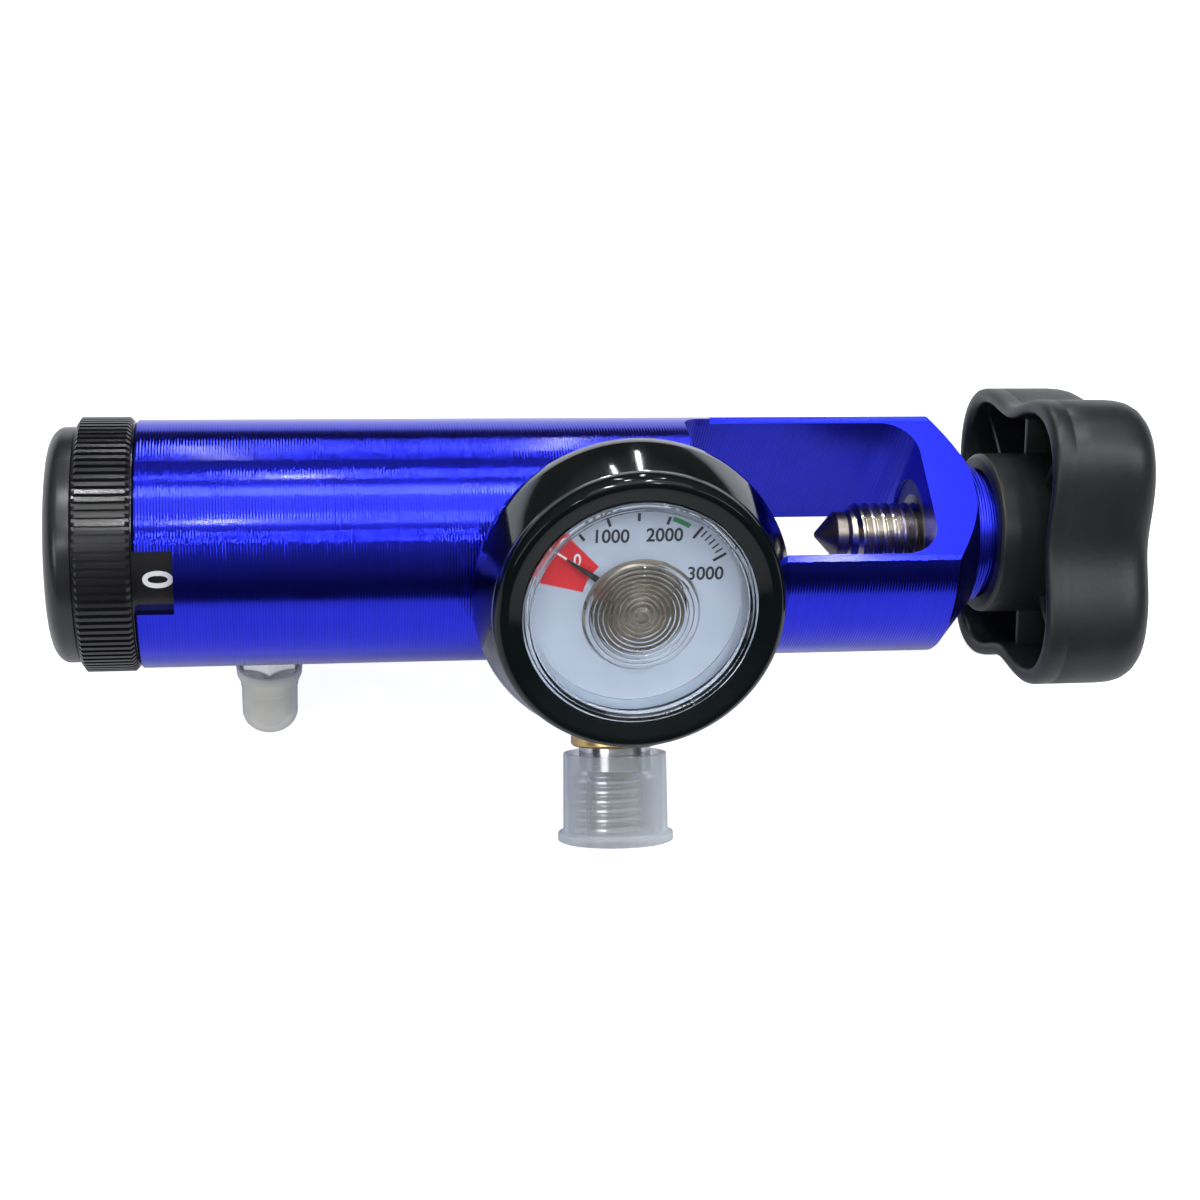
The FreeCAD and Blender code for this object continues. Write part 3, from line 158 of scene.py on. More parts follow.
# Barrel and yoke: one bar of aluminium, turned, milled flat on two sides with
# a slot through for the cylinder valve, and dyed deep blue. Fine tool marks
# run round the barrel, and the milled faces have a straight brushed grain.
DOUBLES = 0.002 * MM
SEAM = 0.001 * MM


def picked(piece):
    """This piece alone selected, and active."""
    bpy.ops.object.select_all(action="DESELECT")
    piece.select_set(True)
    bpy.context.view_layer.objects.active = piece
    return piece


def drawn(name, points):
    """One vertex pulled from point to point."""
    bpy.ops.object.select_all(action="DESELECT")
    bpy.ops.mesh.primitive_plane_add(size=1 * MM)
    piece = bpy.context.object
    piece.name = name
    bpy.ops.object.mode_set(mode="EDIT")
    bpy.ops.mesh.select_mode(type="VERT")
    bpy.ops.mesh.select_all(action="SELECT")
    bpy.ops.mesh.merge(type="CENTER")
    bpy.ops.transform.translate(value=points[0])
    for here, there in zip(points, points[1:]):
        bpy.ops.mesh.extrude_vertices_move(TRANSFORM_OT_translate={"value": there - here})
    bpy.ops.object.mode_set(mode="OBJECT")
    return piece


def finished(piece, smooth=35):
    """Doubles merged, loose edges gone, faces outwards, smooth shading up to an angle."""
    picked(piece)
    bpy.ops.object.mode_set(mode="EDIT")
    bpy.ops.mesh.select_mode(type="VERT")
    bpy.ops.mesh.select_all(action="SELECT")
    bpy.ops.mesh.remove_doubles(threshold=DOUBLES)
    bpy.ops.mesh.delete_loose(use_verts=True, use_edges=True, use_faces=False)
    bpy.ops.mesh.select_all(action="SELECT")
    bpy.ops.mesh.normals_make_consistent(inside=False)
    bpy.ops.object.mode_set(mode="OBJECT")
    bpy.ops.object.shade_smooth_by_angle(angle=math.radians(smooth))
    piece.select_set(False)
    return piece


def applied(piece, kind, **settings):
    """A modifier with these settings, put on and applied."""
    picked(piece)
    bpy.ops.object.modifier_add(type=kind)
    modifier = piece.modifiers[-1]
    for name, value in settings.items():
        setattr(modifier, name, value)
    bpy.ops.object.modifier_apply(modifier=modifier.name)
    return piece


def broken_edges(piece, width, segments=2, angle=35):
    """Sharp edges rounded to this width."""
    return applied(
        piece, "BEVEL", width=width * MM, segments=segments, limit_method="ANGLE",
        angle_limit=math.radians(angle), harden_normals=False,
    )


def spun(name, points, axis, steps, edge):
    """A closed line of points turned about an axis, and its sharp edges rounded."""
    piece = drawn(name, points + points[:1])
    applied(
        piece, "SCREW", axis=axis, steps=steps, render_steps=steps,
        use_merge_vertices=True, merge_threshold=SEAM,
    )
    finished(piece)
    if edge:
        broken_edges(piece, edge)
        finished(piece)
    return piece


def turned(name, section, steps=128, edge=0.0):
    """A section of (x, radius) points in millimetres, turned about the barrel's axis."""
    return spun(name, [Vector((x * MM, 0, r * MM)) for x, r in section], "X", steps, edge)


def cut(piece, tool, operation="DIFFERENCE"):
    """The tool's shape taken out of the piece, and the tool thrown away."""
    applied(piece, "BOOLEAN", object=tool, operation=operation, solver="EXACT")
    bpy.data.objects.remove(tool)
    return piece


def block(name, low, high):
    """A box between two corners in millimetres."""
    low, high = Vector(low) * MM, Vector(high) * MM
    bpy.ops.object.select_all(action="DESELECT")
    bpy.ops.mesh.primitive_cube_add(size=1, location=(low + high) / 2, scale=high - low)
    box = bpy.context.object
    box.name = name
    bpy.ops.object.transform_apply(location=True, rotation=True, scale=True)
    return box


def rounded_uprights(box, radius, side):
    """The box's upright edges on one side of its middle rounded."""
    picked(box)
    middle = sum(v.co.x for v in box.data.vertices) / len(box.data.vertices)
    bpy.ops.object.mode_set(mode="EDIT")
    bpy.ops.mesh.select_mode(type="EDGE")
    bpy.ops.mesh.select_all(action="DESELECT")
    bpy.ops.object.mode_set(mode="OBJECT")
    for edge in box.data.edges:
        a, b = (box.data.vertices[i].co for i in edge.vertices)
        level = abs(a.x - b.x) + abs(a.y - b.y)
        edge.select = level < 0.01 * MM < abs(a.z - b.z) and (a.x - middle) * side > 0
    bpy.ops.object.mode_set(mode="EDIT")
    bpy.ops.mesh.bevel(offset=radius * MM, segments=12, affect="EDGES")
    bpy.ops.object.mode_set(mode="OBJECT")
    return box


def put(piece, matrix):
    """The piece's mesh moved by a matrix, with its object left at the origin."""
    picked(piece)
    piece.matrix_world = matrix
    bpy.ops.object.transform_apply(location=True, rotation=True, scale=True)
    return piece


def stood(piece, x, elevation):
    """A piece built up along Z stood out of the barrel at x."""
    tilt = Matrix.Rotation(math.radians(90 - elevation), 4, "X")
    return put(piece, Matrix.Translation((x * MM, 0, 0)) @ tilt)


class Wire:
    """A socket in a material. Sums written on wires add Math nodes."""

    def __init__(self, tree, socket=None):
        self.tree = tree
        self.socket = socket

    def node(self, kind, settings, values, output=0):
        """A new node of this kind, its settings first and its sockets after."""
        made = self.tree.nodes.new(kind)
        for name, setting in settings.items():
            if name == "stops":
                stops = made.color_ramp.elements
                while len(stops) < len(setting):
                    stops.new(0.5)
                for stop, (position, colour) in zip(stops, setting):
                    stop.position = position
                    stop.color = colour
            else:
                setattr(made, name, setting)
        for name, value in values.items():
            if isinstance(value, Wire):
                self.tree.links.new(value.socket, made.inputs[name])
            else:
                made.inputs[name].default_value = value
        return Wire(self.tree, made.outputs[output])

    def math(self, operation, *terms):
        """A Math node on these terms, or on this wire alone."""
        terms = terms or (self,)
        return self.node("ShaderNodeMath", {"operation": operation}, dict(enumerate(terms)))

    def __add__(self, other):
        return self.math("ADD", self, other)

    def __radd__(self, other):
        return self.math("ADD", other, self)

    def __sub__(self, other):
        return self.math("SUBTRACT", self, other)

    def __rsub__(self, other):
        return self.math("SUBTRACT", other, self)

    def __mul__(self, other):
        return self.math("MULTIPLY", self, other)

    def __rmul__(self, other):
        return self.math("MULTIPLY", other, self)

    def __truediv__(self, other):
        return self.math("DIVIDE", self, other)

    def __gt__(self, other):
        return self.math("GREATER_THAN", self, other)

    def __lt__(self, other):
        return self.math("LESS_THAN", self, other)

    def mixed(self, low, high):
        """Low where this wire is 0 and high where it is 1, as colours."""
        values = {"Factor": self, 6: low, 7: high}
        return self.node("ShaderNodeMix", {"data_type": "RGBA"}, values, 2)

    def noise(self, scale, detail=3.0, stretch=(1, 1, 1)):
        """Noise on this wire's place."""
        placed = self.node("ShaderNodeMapping", {}, {"Vector": self, "Scale": stretch})
        values = {"Vector": placed, "Scale": scale, "Detail": detail}
        return self.node("ShaderNodeTexNoise", {}, values)

    def axes(self):
        """This place's three coordinates."""
        split = self.node("ShaderNodeSeparateXYZ", {}, {0: self})
        outputs = split.socket.node.outputs
        return [Wire(self.tree, outputs[i]) for i in range(3)]


class Finish:
    """A material with its main shader, and the place on the piece as a wire."""

    def __init__(self, name, **values):
        self.material = bpy.data.materials.new(name)
        self.material.use_nodes = True
        self.tree = self.material.node_tree
        self.shader = self.tree.nodes["Principled BSDF"]
        self.place = Wire(self.tree).node("ShaderNodeTexCoord", {}, {}, "Object")
        self.set(**values)

    def set(self, **values):
        """Values or wires for the main shader's sockets."""
        for name, value in values.items():
            socket = self.shader.inputs[name.replace("_", " ")]
            if isinstance(value, Wire):
                self.tree.links.new(value.socket, socket)
            else:
                socket.default_value = value

    def bumped(self, height, distance):
        """Relief of this height, in millimetres."""
        values = {"Height": height, "Distance": distance * MM, "Strength": 1.0}
        self.set(Normal=self.place.node("ShaderNodeBump", {}, values))

    def on(self, *pieces):
        """The finish put on these pieces."""
        for piece in pieces:
            if piece.data.materials:
                piece.material_slots[0].material = self.material
            else:
                piece.data.materials.append(self.material)


BARREL_START = -81.9
BARREL_END = 49.0
BARREL_R = 18.0
SKIRT_SEAT_R = 16.8
CORE_BORE_R = 12.0
NECK_R = 9.4
BUSH_R = 8.4
BUSH_END = 41.0
SCREW_HOLE_R = 5.2625
FLAT_START = 2.1
FLAT_END = 41.12
FLAT_OFF = 12.18
SLOT_START = -2.4
SLOT_END = 33.9
SLOT_HALF_WIDTH = 12.03
SLOT_START_CORNER = 2.6
SLOT_END_CORNER = 5.5
WINDOW_ELEVATION = 36.8
WINDOW_LENGTH = 5.45
WINDOW_HALF_WIDTH = 4.6
BEYOND = 30

barrel = turned("barrel", [
    (BARREL_START, SKIRT_SEAT_R), (BARREL_START, 17.6), (-81.5, BARREL_R), (36.2, BARREL_R),
    (41.1, 12.4), (41.1, 10.6), (43.2, 10.6), (43.2, NECK_R), (BARREL_END, NECK_R),
    (BARREL_END, SCREW_HOLE_R), (BUSH_END, SCREW_HOLE_R), (BUSH_END, BUSH_R), (33.0, BUSH_R),
    (-1.0, BUSH_R), (SLOT_START, 4.5), (-6.4, 4.5), (-6.4, CORE_BORE_R), (-75.4, CORE_BORE_R),
    (-75.4, SKIRT_SEAT_R),
], steps=240)
cut(barrel, block("flat", (FLAT_START, -BEYOND, FLAT_OFF), (FLAT_END, BEYOND, BEYOND)))
cut(barrel, block("flat", (FLAT_START, -BEYOND, -BEYOND), (FLAT_END, BEYOND, -FLAT_OFF)))
slot_tool = block(
    "slot", (SLOT_START, -SLOT_HALF_WIDTH, -BEYOND), (SLOT_END, SLOT_HALF_WIDTH, BEYOND),
)
rounded_uprights(slot_tool, SLOT_START_CORNER, -1)
rounded_uprights(slot_tool, SLOT_END_CORNER, 1)
cut(barrel, slot_tool)
window_tool = block(
    "window", (-1, -WINDOW_HALF_WIDTH, BUSH_R), (WINDOW_LENGTH, WINDOW_HALF_WIDTH, 22),
)
cut(barrel, stood(window_tool, BARREL_START, WINDOW_ELEVATION))
finished(barrel)
broken_edges(barrel, 0.14, 2, 28)
finished(barrel, 40)
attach(barrel, "regulator")
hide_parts("body")

TOOL_MARK_PITCH = 0.42 * MM
MILLED_ABOVE = 12.1 * MM
MILLED_FROM = 2.0 * MM
TURNED_R = 17.4 * MM
DARK_BLUE = (0.010, 0.014, 0.46, 1)
BRIGHT_BLUE = (0.030, 0.042, 0.90, 1)
MILLED_BLUE = (0.018, 0.03, 0.95, 1)
blue = Finish("blue anodised", Metallic=1.0, Coat_Weight=0.15, Coat_Roughness=0.1)
x, y, z = blue.place.axes()
wander = blue.place.noise(55, 3, (1, 0.3, 0.3))
tool_marks = (x * (2 * math.pi / TOOL_MARK_PITCH) + wander * 9).math("SINE")
streaks = blue.place.noise(1400, 2, (1, 0.02, 0.02))
tone = blue.place.noise(45, 4)
spots = blue.place.noise(420, 3, (0.5, 1, 1))
grain = blue.place.noise(900, 3, (0.03, 1, 1))
milled = (z.math("ABSOLUTE") > MILLED_ABOVE) * (x > MILLED_FROM)
inside = (y * y + z * z) < TURNED_R ** 2
turned_height = tool_marks * (0.5 + wander * 0.5) + streaks * 1.2
# The blue is mixed by random tone, streaks and spots, and by the tool marks too. The tool marks
# make the colour darker in their grooves, and that part is painted shade.
tone_and_groove_shade = tone * 0.3 + streaks * 0.3 + spots * 0.25 + tool_marks * 0.14 + 0.07
blue.set(
    Base_Color=(milled * 0.45).mixed(tone_and_groove_shade.mixed(DARK_BLUE, BRIGHT_BLUE), MILLED_BLUE),
    Roughness=0.1 + spots * 0.08 + milled * 0.12 + inside * 0.16,
)
blue.bumped(turned_height * (1 - milled) + grain * milled * 0.9, 0.02)
blue.on(barrel)

# Inlet, bush and the brass inside: the nipple, filter and washer that meet the
# cylinder valve, two steel index pins and a threaded steel bush. They are
# turned from bar, and show through the yoke's slot.
brass = Finish("turned brass", Metallic=1.0)
ring_marks = brass.place.noise(1200, 2, (1, 0.05, 0.05))
brass.set(
    Base_Color=brass.place.noise(160).mixed((0.62, 0.44, 0.17, 1), (0.82, 0.62, 0.29, 1)),
    Roughness=0.22 + ring_marks * 0.2,
)
brass.bumped(ring_marks, 0.01)
brass.on(*[nodes[n] for n in (
    "core", "inlet_nipple", "piston", "flow_seat", "outlet_block", "gauge_stem", "check_poppet",
)])

bronze = Finish("sintered bronze", Metallic=0.8, Roughness=0.6)
grit = bronze.place.noise(4200, 4)
bronze.set(Base_Color=grit.mixed((0.22, 0.13, 0.05, 1), (0.62, 0.42, 0.20, 1)))
bronze.bumped(grit, 0.05)
bronze.on(nodes["inlet_filter"])

steel = Finish("ground steel", Metallic=1.0)
scuffs = steel.place.noise(800, 4, (0.3, 1, 1))
steel.set(
    Base_Color=scuffs.mixed((0.36, 0.35, 0.34, 1), (0.66, 0.65, 0.63, 1)),
    Roughness=0.2 + scuffs * 0.25,
)
steel.bumped(scuffs, 0.008)
steel.on(*[nodes[n] for n in (
    "index_pins", "piston_spring", "orifice_disc", "selector_spindle", "retaining_ring",
    "detent_balls", "detent_springs", "knob_screw", "check_spring",
)])

seal = Finish("black seal rubber", Roughness=0.55, Specular_IOR_Level=0.4)
fleck = seal.place.noise(1500, 3)
seal.set(Base_Color=fleck.mixed((0.012, 0.012, 0.013, 1), (0.035, 0.035, 0.037, 1)))
seal.bumped(fleck, 0.015)
seal.on(*[nodes[n] for n in ("seal_washer", "piston_o_ring", "stem_o_ring", "spindle_o_ring")])

seat_plastic = Finish("seat plastic", Roughness=0.35)
pale_fleck = seat_plastic.place.noise(900)
seat_plastic.set(Base_Color=pale_fleck.mixed((0.66, 0.62, 0.5, 1), (0.8, 0.77, 0.66, 1)))
seat_plastic.on(nodes["seat_pad"])

bronze_strip = Finish("drawn bronze", Metallic=1.0)
drawn_marks = bronze_strip.place.noise(600, 3, (1, 0.2, 0.2))
bronze_strip.set(
    Base_Color=drawn_marks.mixed((0.42, 0.25, 0.10, 1), (0.66, 0.43, 0.19, 1)),
    Roughness=0.3 + drawn_marks * 0.15,
)
bronze_strip.on(nodes["bourdon_tube"])

bush = turned("threaded_bush", [
    (34.4, 5.9), (34.4, BUSH_R), (BUSH_END, BUSH_R), (BUSH_END, 4.85), (35.5, 4.85),
], steps=96, edge=0.12)
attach(bush, "regulator")
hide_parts("thread_insert")
grey_steel = Finish("grey steel", Metallic=0.9)
wear = grey_steel.place.noise(500, 4)
grey_steel.set(
    Base_Color=wear.mixed((0.2, 0.21, 0.25, 1), (0.42, 0.43, 0.48, 1)),
    Roughness=0.28 + wear * 0.2,
)
grey_steel.bumped(wear, 0.01)
grey_steel.on(bush)

# Flow dial: a black moulded ring with a hundred ribs, a domed cap pressed in
# its end, and a skirt inside the barrel whose white numbers pass the window.
RIBS = 100
RIB_FOOT_R = 17.75
RIB_HEIGHT = 0.65
GRIP_START = -90.1
GRIP_END = -82.2
GRIP_BORE_R = 15.6

bpy.ops.object.select_all(action="DESELECT")
bpy.ops.mesh.primitive_cylinder_add(
    vertices=2 * RIBS, radius=RIB_FOOT_R * MM, depth=(GRIP_END - GRIP_START) * MM,
    location=((GRIP_START + GRIP_END) / 2 * MM, 0, 0), rotation=(0, math.pi / 2, 0),
)
grip = bpy.context.object
grip.name = "dial_grip"
bpy.ops.object.transform_apply(location=True, rotation=True, scale=True)
bpy.ops.object.mode_set(mode="EDIT")
bpy.ops.mesh.select_mode(type="FACE")
bpy.ops.mesh.select_all(action="DESELECT")
bpy.ops.object.mode_set(mode="OBJECT")
for face in grip.data.polygons:
    bearing = math.atan2(face.center.z, face.center.y)
    side = math.floor(bearing * RIBS / math.pi)
    face.select = len(face.vertices) == 4 and side % 2 == 0
bpy.ops.object.mode_set(mode="EDIT")
bpy.ops.mesh.extrude_faces_move(TRANSFORM_OT_shrink_fatten={"value": RIB_HEIGHT * MM})
bpy.ops.object.mode_set(mode="OBJECT")
cut(grip, turned("ring envelope", [
    (GRIP_START, GRIP_BORE_R), (GRIP_START, 17.4), (-89.4, 18.4), (-82.7, 18.4),
    (GRIP_END, 17.9), (GRIP_END, GRIP_BORE_R),
], steps=2 * RIBS), "INTERSECT")
finished(grip)
broken_edges(grip, 0.09, 2, 40)
finished(grip, 50)
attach(grip, "flow_selector")
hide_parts("flow_knob")

skirt = turned("dial_skirt", [
    (-90.0, 14.2), (-90.0, 15.7), (-82.3, 15.7), (-82.3, 16.6), (-75.65, 16.6), (-75.65, 15.1),
    (-77.0, 14.2),
], steps=160, edge=0.15)
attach(skirt, "flow_selector")
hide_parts("flow_knob")

black = Finish("black moulding", Specular_IOR_Level=0.6)
mould_grain = black.place.noise(1500, 4)
handled = black.place.noise(150, 3)
black.set(
    Base_Color=handled.mixed((0.004, 0.004, 0.005, 1), (0.016, 0.016, 0.018, 1)),
    Roughness=0.12 + mould_grain * 0.1 + handled * 0.08,
)
black.bumped(mould_grain, 0.01)
black.on(grip, skirt)

DOME_R = 17.0
DOME_START = -91.8
DOME_DEPTH = 2.4
DOME_ROUND = 4.0
DOME_END = -94.2


def quarter(first):
    """A quarter turn from this many degrees, as shares on and shares in."""
    turns = [math.radians(a) for a in range(first, 91, 10)]
    return [(math.sin(turn), 1 - math.cos(turn)) for turn in turns]


dome = turned("dial_cap", [
    (-87.1, 14.0), (-87.1, GRIP_BORE_R), (GRIP_START, GRIP_BORE_R), (GRIP_START, 16.8),
    (-90.3, DOME_R), (DOME_START, DOME_R),
] + [
    (DOME_START - DOME_DEPTH * on, DOME_R - DOME_ROUND * inward) for on, inward in quarter(10)
] + [
    (DOME_END, 4.0), (DOME_END, 0.0), (-92.6, 0.0), (-92.6, 12.6), (-91.6, 14.0),
], steps=160)
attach(dome, "flow_selector")
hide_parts("knob_cap")
cap_black = Finish("satin black cap", Specular_IOR_Level=0.5)
cap_grain = cap_black.place.noise(1500, 3)
cap_smears = cap_black.place.noise(110, 3)
cap_black.set(
    Base_Color=cap_smears.mixed((0.007, 0.007, 0.008, 1), (0.026, 0.027, 0.03, 1)),
    Roughness=0.2 + cap_smears * 0.16,
)
cap_black.bumped(cap_grain, 0.012)
cap_black.on(dome)

NUMBER_SIZE = 5.7
NUMBER_TILT = 9.0
NUMBER_AT = (-78.55, 16.61)
NUMBER_SQUEEZE = 0.92
INK = 0.02
TYPE_WEIGHT = 0.018
FLOWS = ["0", "1", "2", "3", "4", "6", "8", "10", "12", "15", "20", "25"]
FLOW_STEP = 30
FIRST_FLOW = 37.8

white_ink = Finish("white print", Roughness=0.45)
ink_cover = white_ink.place.noise(2600, 3)
white_ink.set(Base_Color=ink_cover.mixed((0.62, 0.63, 0.66, 1), (0.84, 0.85, 0.88, 1)))


def digits(name, text, size, depth):
    """Flat type as a mesh, centred on its own middle."""
    bpy.ops.object.select_all(action="DESELECT")
    bpy.ops.object.text_add()
    word = bpy.context.object
    word.name = name
    word.data.body = text
    word.data.size = size * MM
    word.data.offset = size * TYPE_WEIGHT * MM
    word.data.extrude = depth * MM
    word.data.align_x = "CENTER"
    word.data.align_y = "CENTER"
    word.data.resolution_u = 6
    bpy.ops.object.convert(target="MESH")
    finished(word, 30)
    picked(word)
    bpy.ops.object.origin_set(type="ORIGIN_GEOMETRY", center="BOUNDS")
    word.location = (0, 0, 0)
    return word


def joined(name, pieces):
    """Several meshes made one piece."""
    bpy.ops.object.select_all(action="DESELECT")
    for piece in pieces:
        piece.select_set(True)
    bpy.context.view_layer.objects.active = pieces[0]
    bpy.ops.object.join()
    pieces[0].name = name
    return pieces[0]


printed = []
for stop, flow in enumerate(FLOWS):
    for position, digit in enumerate(flow):
        aside = (position - (len(flow) - 1) / 2) * NUMBER_TILT
        bearing = FIRST_FLOW - FLOW_STEP * stop - aside
        printed.append(put(
            digits("digit", digit, NUMBER_SIZE, INK),
            Matrix.Rotation(math.radians(90 - bearing), 4, "X")
            @ Matrix.Translation((NUMBER_AT[0] * MM, 0, NUMBER_AT[1] * MM))
            @ Matrix.Rotation(math.radians(-90), 4, "Z")
            @ Matrix.Diagonal((NUMBER_SQUEEZE, 1.0, 1.0, 1.0)),
        ))
flow_numbers = joined("flow_numbers", printed)
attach(flow_numbers, "flow_selector")
white_ink.on(flow_numbers)

# Pressure gauge: a deep black-chromed case that narrows to a glossy black ring,
# a clear moulded lens with a ringed boss, and a pale printed dial whose needle
# turns under a bright hub.
GAUGE = (-12.85, 33.35)


def turned_up(name, section, steps=128, edge=0.0):
    """A section of (radius, height) points in millimetres, turned about Z."""
    return spun(name, [Vector((r * MM, 0, h * MM)) for r, h in section], "Z", steps, edge)


CASE_R = 22.6
STEM_HOLE_R = 5.1
RING_R = 20.5
RING_BORE_R = 19.3
RING_BACK = 27.6
LENS_R = 16.5
LENS_BACK = 27.4
LENS_FACE = 28.9
LENS_RIM = 29.4
case = turned_up("gauge_shell", [
    (STEM_HOLE_R, 18.9), (21.2, 18.9), (22.2, 19.2), (CASE_R, 19.9), (CASE_R, 21.9),
    (RING_R, RING_BACK), (RING_BORE_R, RING_BACK), (21.4, 21.9), (21.4, 20.1),
    (STEM_HOLE_R, 20.1),
], steps=192, edge=0.25)
stood(case, *GAUGE)
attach(case, "regulator")
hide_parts("gauge_case")
black_chrome = Finish("black chrome", Metallic=1.0)
cloud = black_chrome.place.noise(70, 3)
black_chrome.set(
    Base_Color=cloud.mixed((0.09, 0.10, 0.108, 1), (0.20, 0.215, 0.23, 1)),
    Roughness=0.04 + cloud * 0.08,
)
black_chrome.bumped(black_chrome.place.noise(160, 2), 0.03)
black_chrome.on(case)

ring = turned_up("gauge_ring", [
    (RING_R, RING_BACK), (RING_R, 28.6), (20.2, 29.4), (19.6, 29.9), (18.9, 29.95),
    (18.4, 29.75), (LENS_R, LENS_FACE), (LENS_R, LENS_BACK), (16.1, LENS_BACK), (16.1, 27.0),
    (RING_BORE_R, 27.0), (RING_BORE_R, RING_BACK),
], steps=192, edge=0.12)
stood(ring, *GAUGE)
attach(ring, "regulator")
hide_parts("gauge_bezel")
gloss = Finish("glossy black ring", Specular_IOR_Level=0.3)
dust = gloss.place.noise(1800, 4)
gloss.set(
    Base_Color=gloss.place.noise(90).mixed((0.0015, 0.003, 0.0035, 1), (0.005, 0.008, 0.009, 1)),
    Roughness=0.05 + dust * 0.07,
)
gloss.on(ring)

BOSS_RINGS = 10
BOSS_RING_R = 7.9
BOSS_RING_STEP = 0.68
BOSS_TOP = 29.3
BOSS_GROOVE = 29.12
boss_rings = []
for i in range(BOSS_RINGS):
    radius = BOSS_RING_R - i * BOSS_RING_STEP
    boss_rings += [(radius, BOSS_TOP), (radius - 0.4, BOSS_TOP), (radius - 0.52, BOSS_GROOVE)]
lens = turned_up("gauge_window", [
    (14.75, 24.5), (15.0, 24.5), (16.1, LENS_BACK), (LENS_R, LENS_BACK), (LENS_R, LENS_FACE),
    (16.1, LENS_RIM), (15.6, LENS_RIM), (15.2, LENS_FACE), (8.3, LENS_FACE),
] + boss_rings + [
    (1.0, BOSS_TOP), (0.7, 29.55), (0.0, 29.6), (0.0, LENS_BACK), (15.2, LENS_BACK),
    (14.75, 24.7),
], steps=160)
stood(lens, *GAUGE)
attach(lens, "regulator")
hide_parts("gauge_lens")


def lets_lamps_through(finish, tint):
    """The finish's glass made clear to rays from lamps."""
    nodes_in = finish.tree.nodes
    output = nodes_in["Material Output"]
    path = nodes_in.new("ShaderNodeLightPath")
    clear = nodes_in.new("ShaderNodeBsdfTransparent")
    clear.inputs["Color"].default_value = tint
    mix = nodes_in.new("ShaderNodeMixShader")
    finish.tree.links.new(path.outputs["Is Shadow Ray"], mix.inputs["Fac"])
    finish.tree.links.new(finish.shader.outputs[0], mix.inputs[1])
    finish.tree.links.new(clear.outputs[0], mix.inputs[2])
    finish.tree.links.new(mix.outputs[0], output.inputs["Surface"])


clear = Finish(
    "clear lens", Base_Color=(0.97, 0.98, 1, 1), Transmission_Weight=1.0, IOR=1.46,
)
clear.set(Roughness=0.015 + clear.place.noise(300) * 0.03)
lets_lamps_through(clear, (0.95, 0.97, 0.98, 1))
clear.on(lens)

hub = turned_up("needle_hub", [
    (0.0, 25.25), (6.8, 25.25), (6.8, 26.0), (6.5, 26.3), (1.5, 26.3), (1.2, 26.5), (0.0, 26.5),
], steps=128, edge=0.05)
stood(hub, *GAUGE)
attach(hub, "needle")
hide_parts("pointer_hub")
hub_metal = Finish("turned hub metal", Metallic=1.0)
sheen = hub_metal.place.noise(260, 3)
hub_metal.set(
    Base_Color=sheen.mixed((0.20, 0.17, 0.13, 1), (0.42, 0.38, 0.31, 1)),
    Roughness=0.2 + sheen * 0.2,
)
hub_metal.on(hub, nodes["pointer_arbor"])

needle_black = Finish("needle black", Roughness=0.4)
soot = needle_black.place.noise(1500)
needle_black.set(Base_Color=soot.mixed((0.008, 0.008, 0.008, 1), (0.03, 0.03, 0.03, 1)))
needle_black.on(nodes["gauge_pointer"])

# The dial is printed on its own plane, in degrees round the needle's axis and
# millimetres out from it: a scale of ticks, a red and a green field, numbers.
PRINT_EDGE = 0.03
RED_FIELD = (134.7, 166.5, 7.9, 14.7)
GREEN_FIELD = (59.0, 70.5, 13.0, 13.7)
BLACK_TICKS = [
    (18.9, 72.5, 129.2, 12.3, 13.5, 0.42),
    (3.55, 34.9, 49.1, 13.0, 14.2, 0.24),
    (21.5, 31.0, 52.5, 12.2, 14.3, 0.42),
]
WHITE_TICK = (10.0, 146.0, 146.0, 12.2, 14.7, 0.3)
PAPER_DARK = (0.40, 0.46, 0.56, 1)
PAPER_LIGHT = (0.47, 0.54, 0.65, 1)
RED = (0.60, 0.022, 0.03, 1)
GREEN = (0.03, 0.22, 0.09, 1)
TICK_WHITE = (0.85, 0.86, 0.9, 1)
TICK_BLACK = (0.015, 0.015, 0.017, 1)

upright = (
    Matrix.Translation((GAUGE[0] * MM, 0, 0))
    @ Matrix.Rotation(math.radians(90 - GAUGE[1]), 4, "X")
)
level = upright.inverted()
dial_print = Finish("printed dial", Roughness=0.42)
dial_place = dial_print.place.node("ShaderNodeMapping", {}, {
    "Vector": dial_print.place, "Location": level.to_translation(), "Rotation": level.to_euler(),
})
across, along, _ = dial_place.axes()
far = (across * across + along * along).math("SQRT")
bearing = along.math("ARCTAN2", along, across) * (180 / math.pi)


def band(value, low, high, soft):
    """1 between low and high, with soft edges."""
    rising = value.node("ShaderNodeMapRange", {}, {
        "Value": value, "From Min": low - soft, "From Max": low + soft,
    })
    falling = value.node("ShaderNodeMapRange", {}, {
        "Value": value, "From Min": high - soft, "From Max": high + soft,
        "To Min": 1.0, "To Max": 0.0,
    })
    return rising * falling


def field(start, stop, inner, outer):
    """A part of the ring between two bearings and two radii."""
    reach = band(far, inner * MM, outer * MM, 0.05 * MM)
    return band(bearing, start, stop, 0.4) * reach


def ticks(step, start, stop, inner, outer, width):
    """Short lines across the scale, one each step of degrees."""
    share = ((bearing - start + step * 200.5) / step).math("FRACT")
    aside = (share - 0.5) * math.radians(step) * far
    line = band(aside, -width * MM / 2, width * MM / 2, PRINT_EDGE * MM)
    reach = band(far, inner * MM, outer * MM, PRINT_EDGE * MM)
    return line * band(bearing, start - step / 4, stop + step / 4, 0.02) * reach


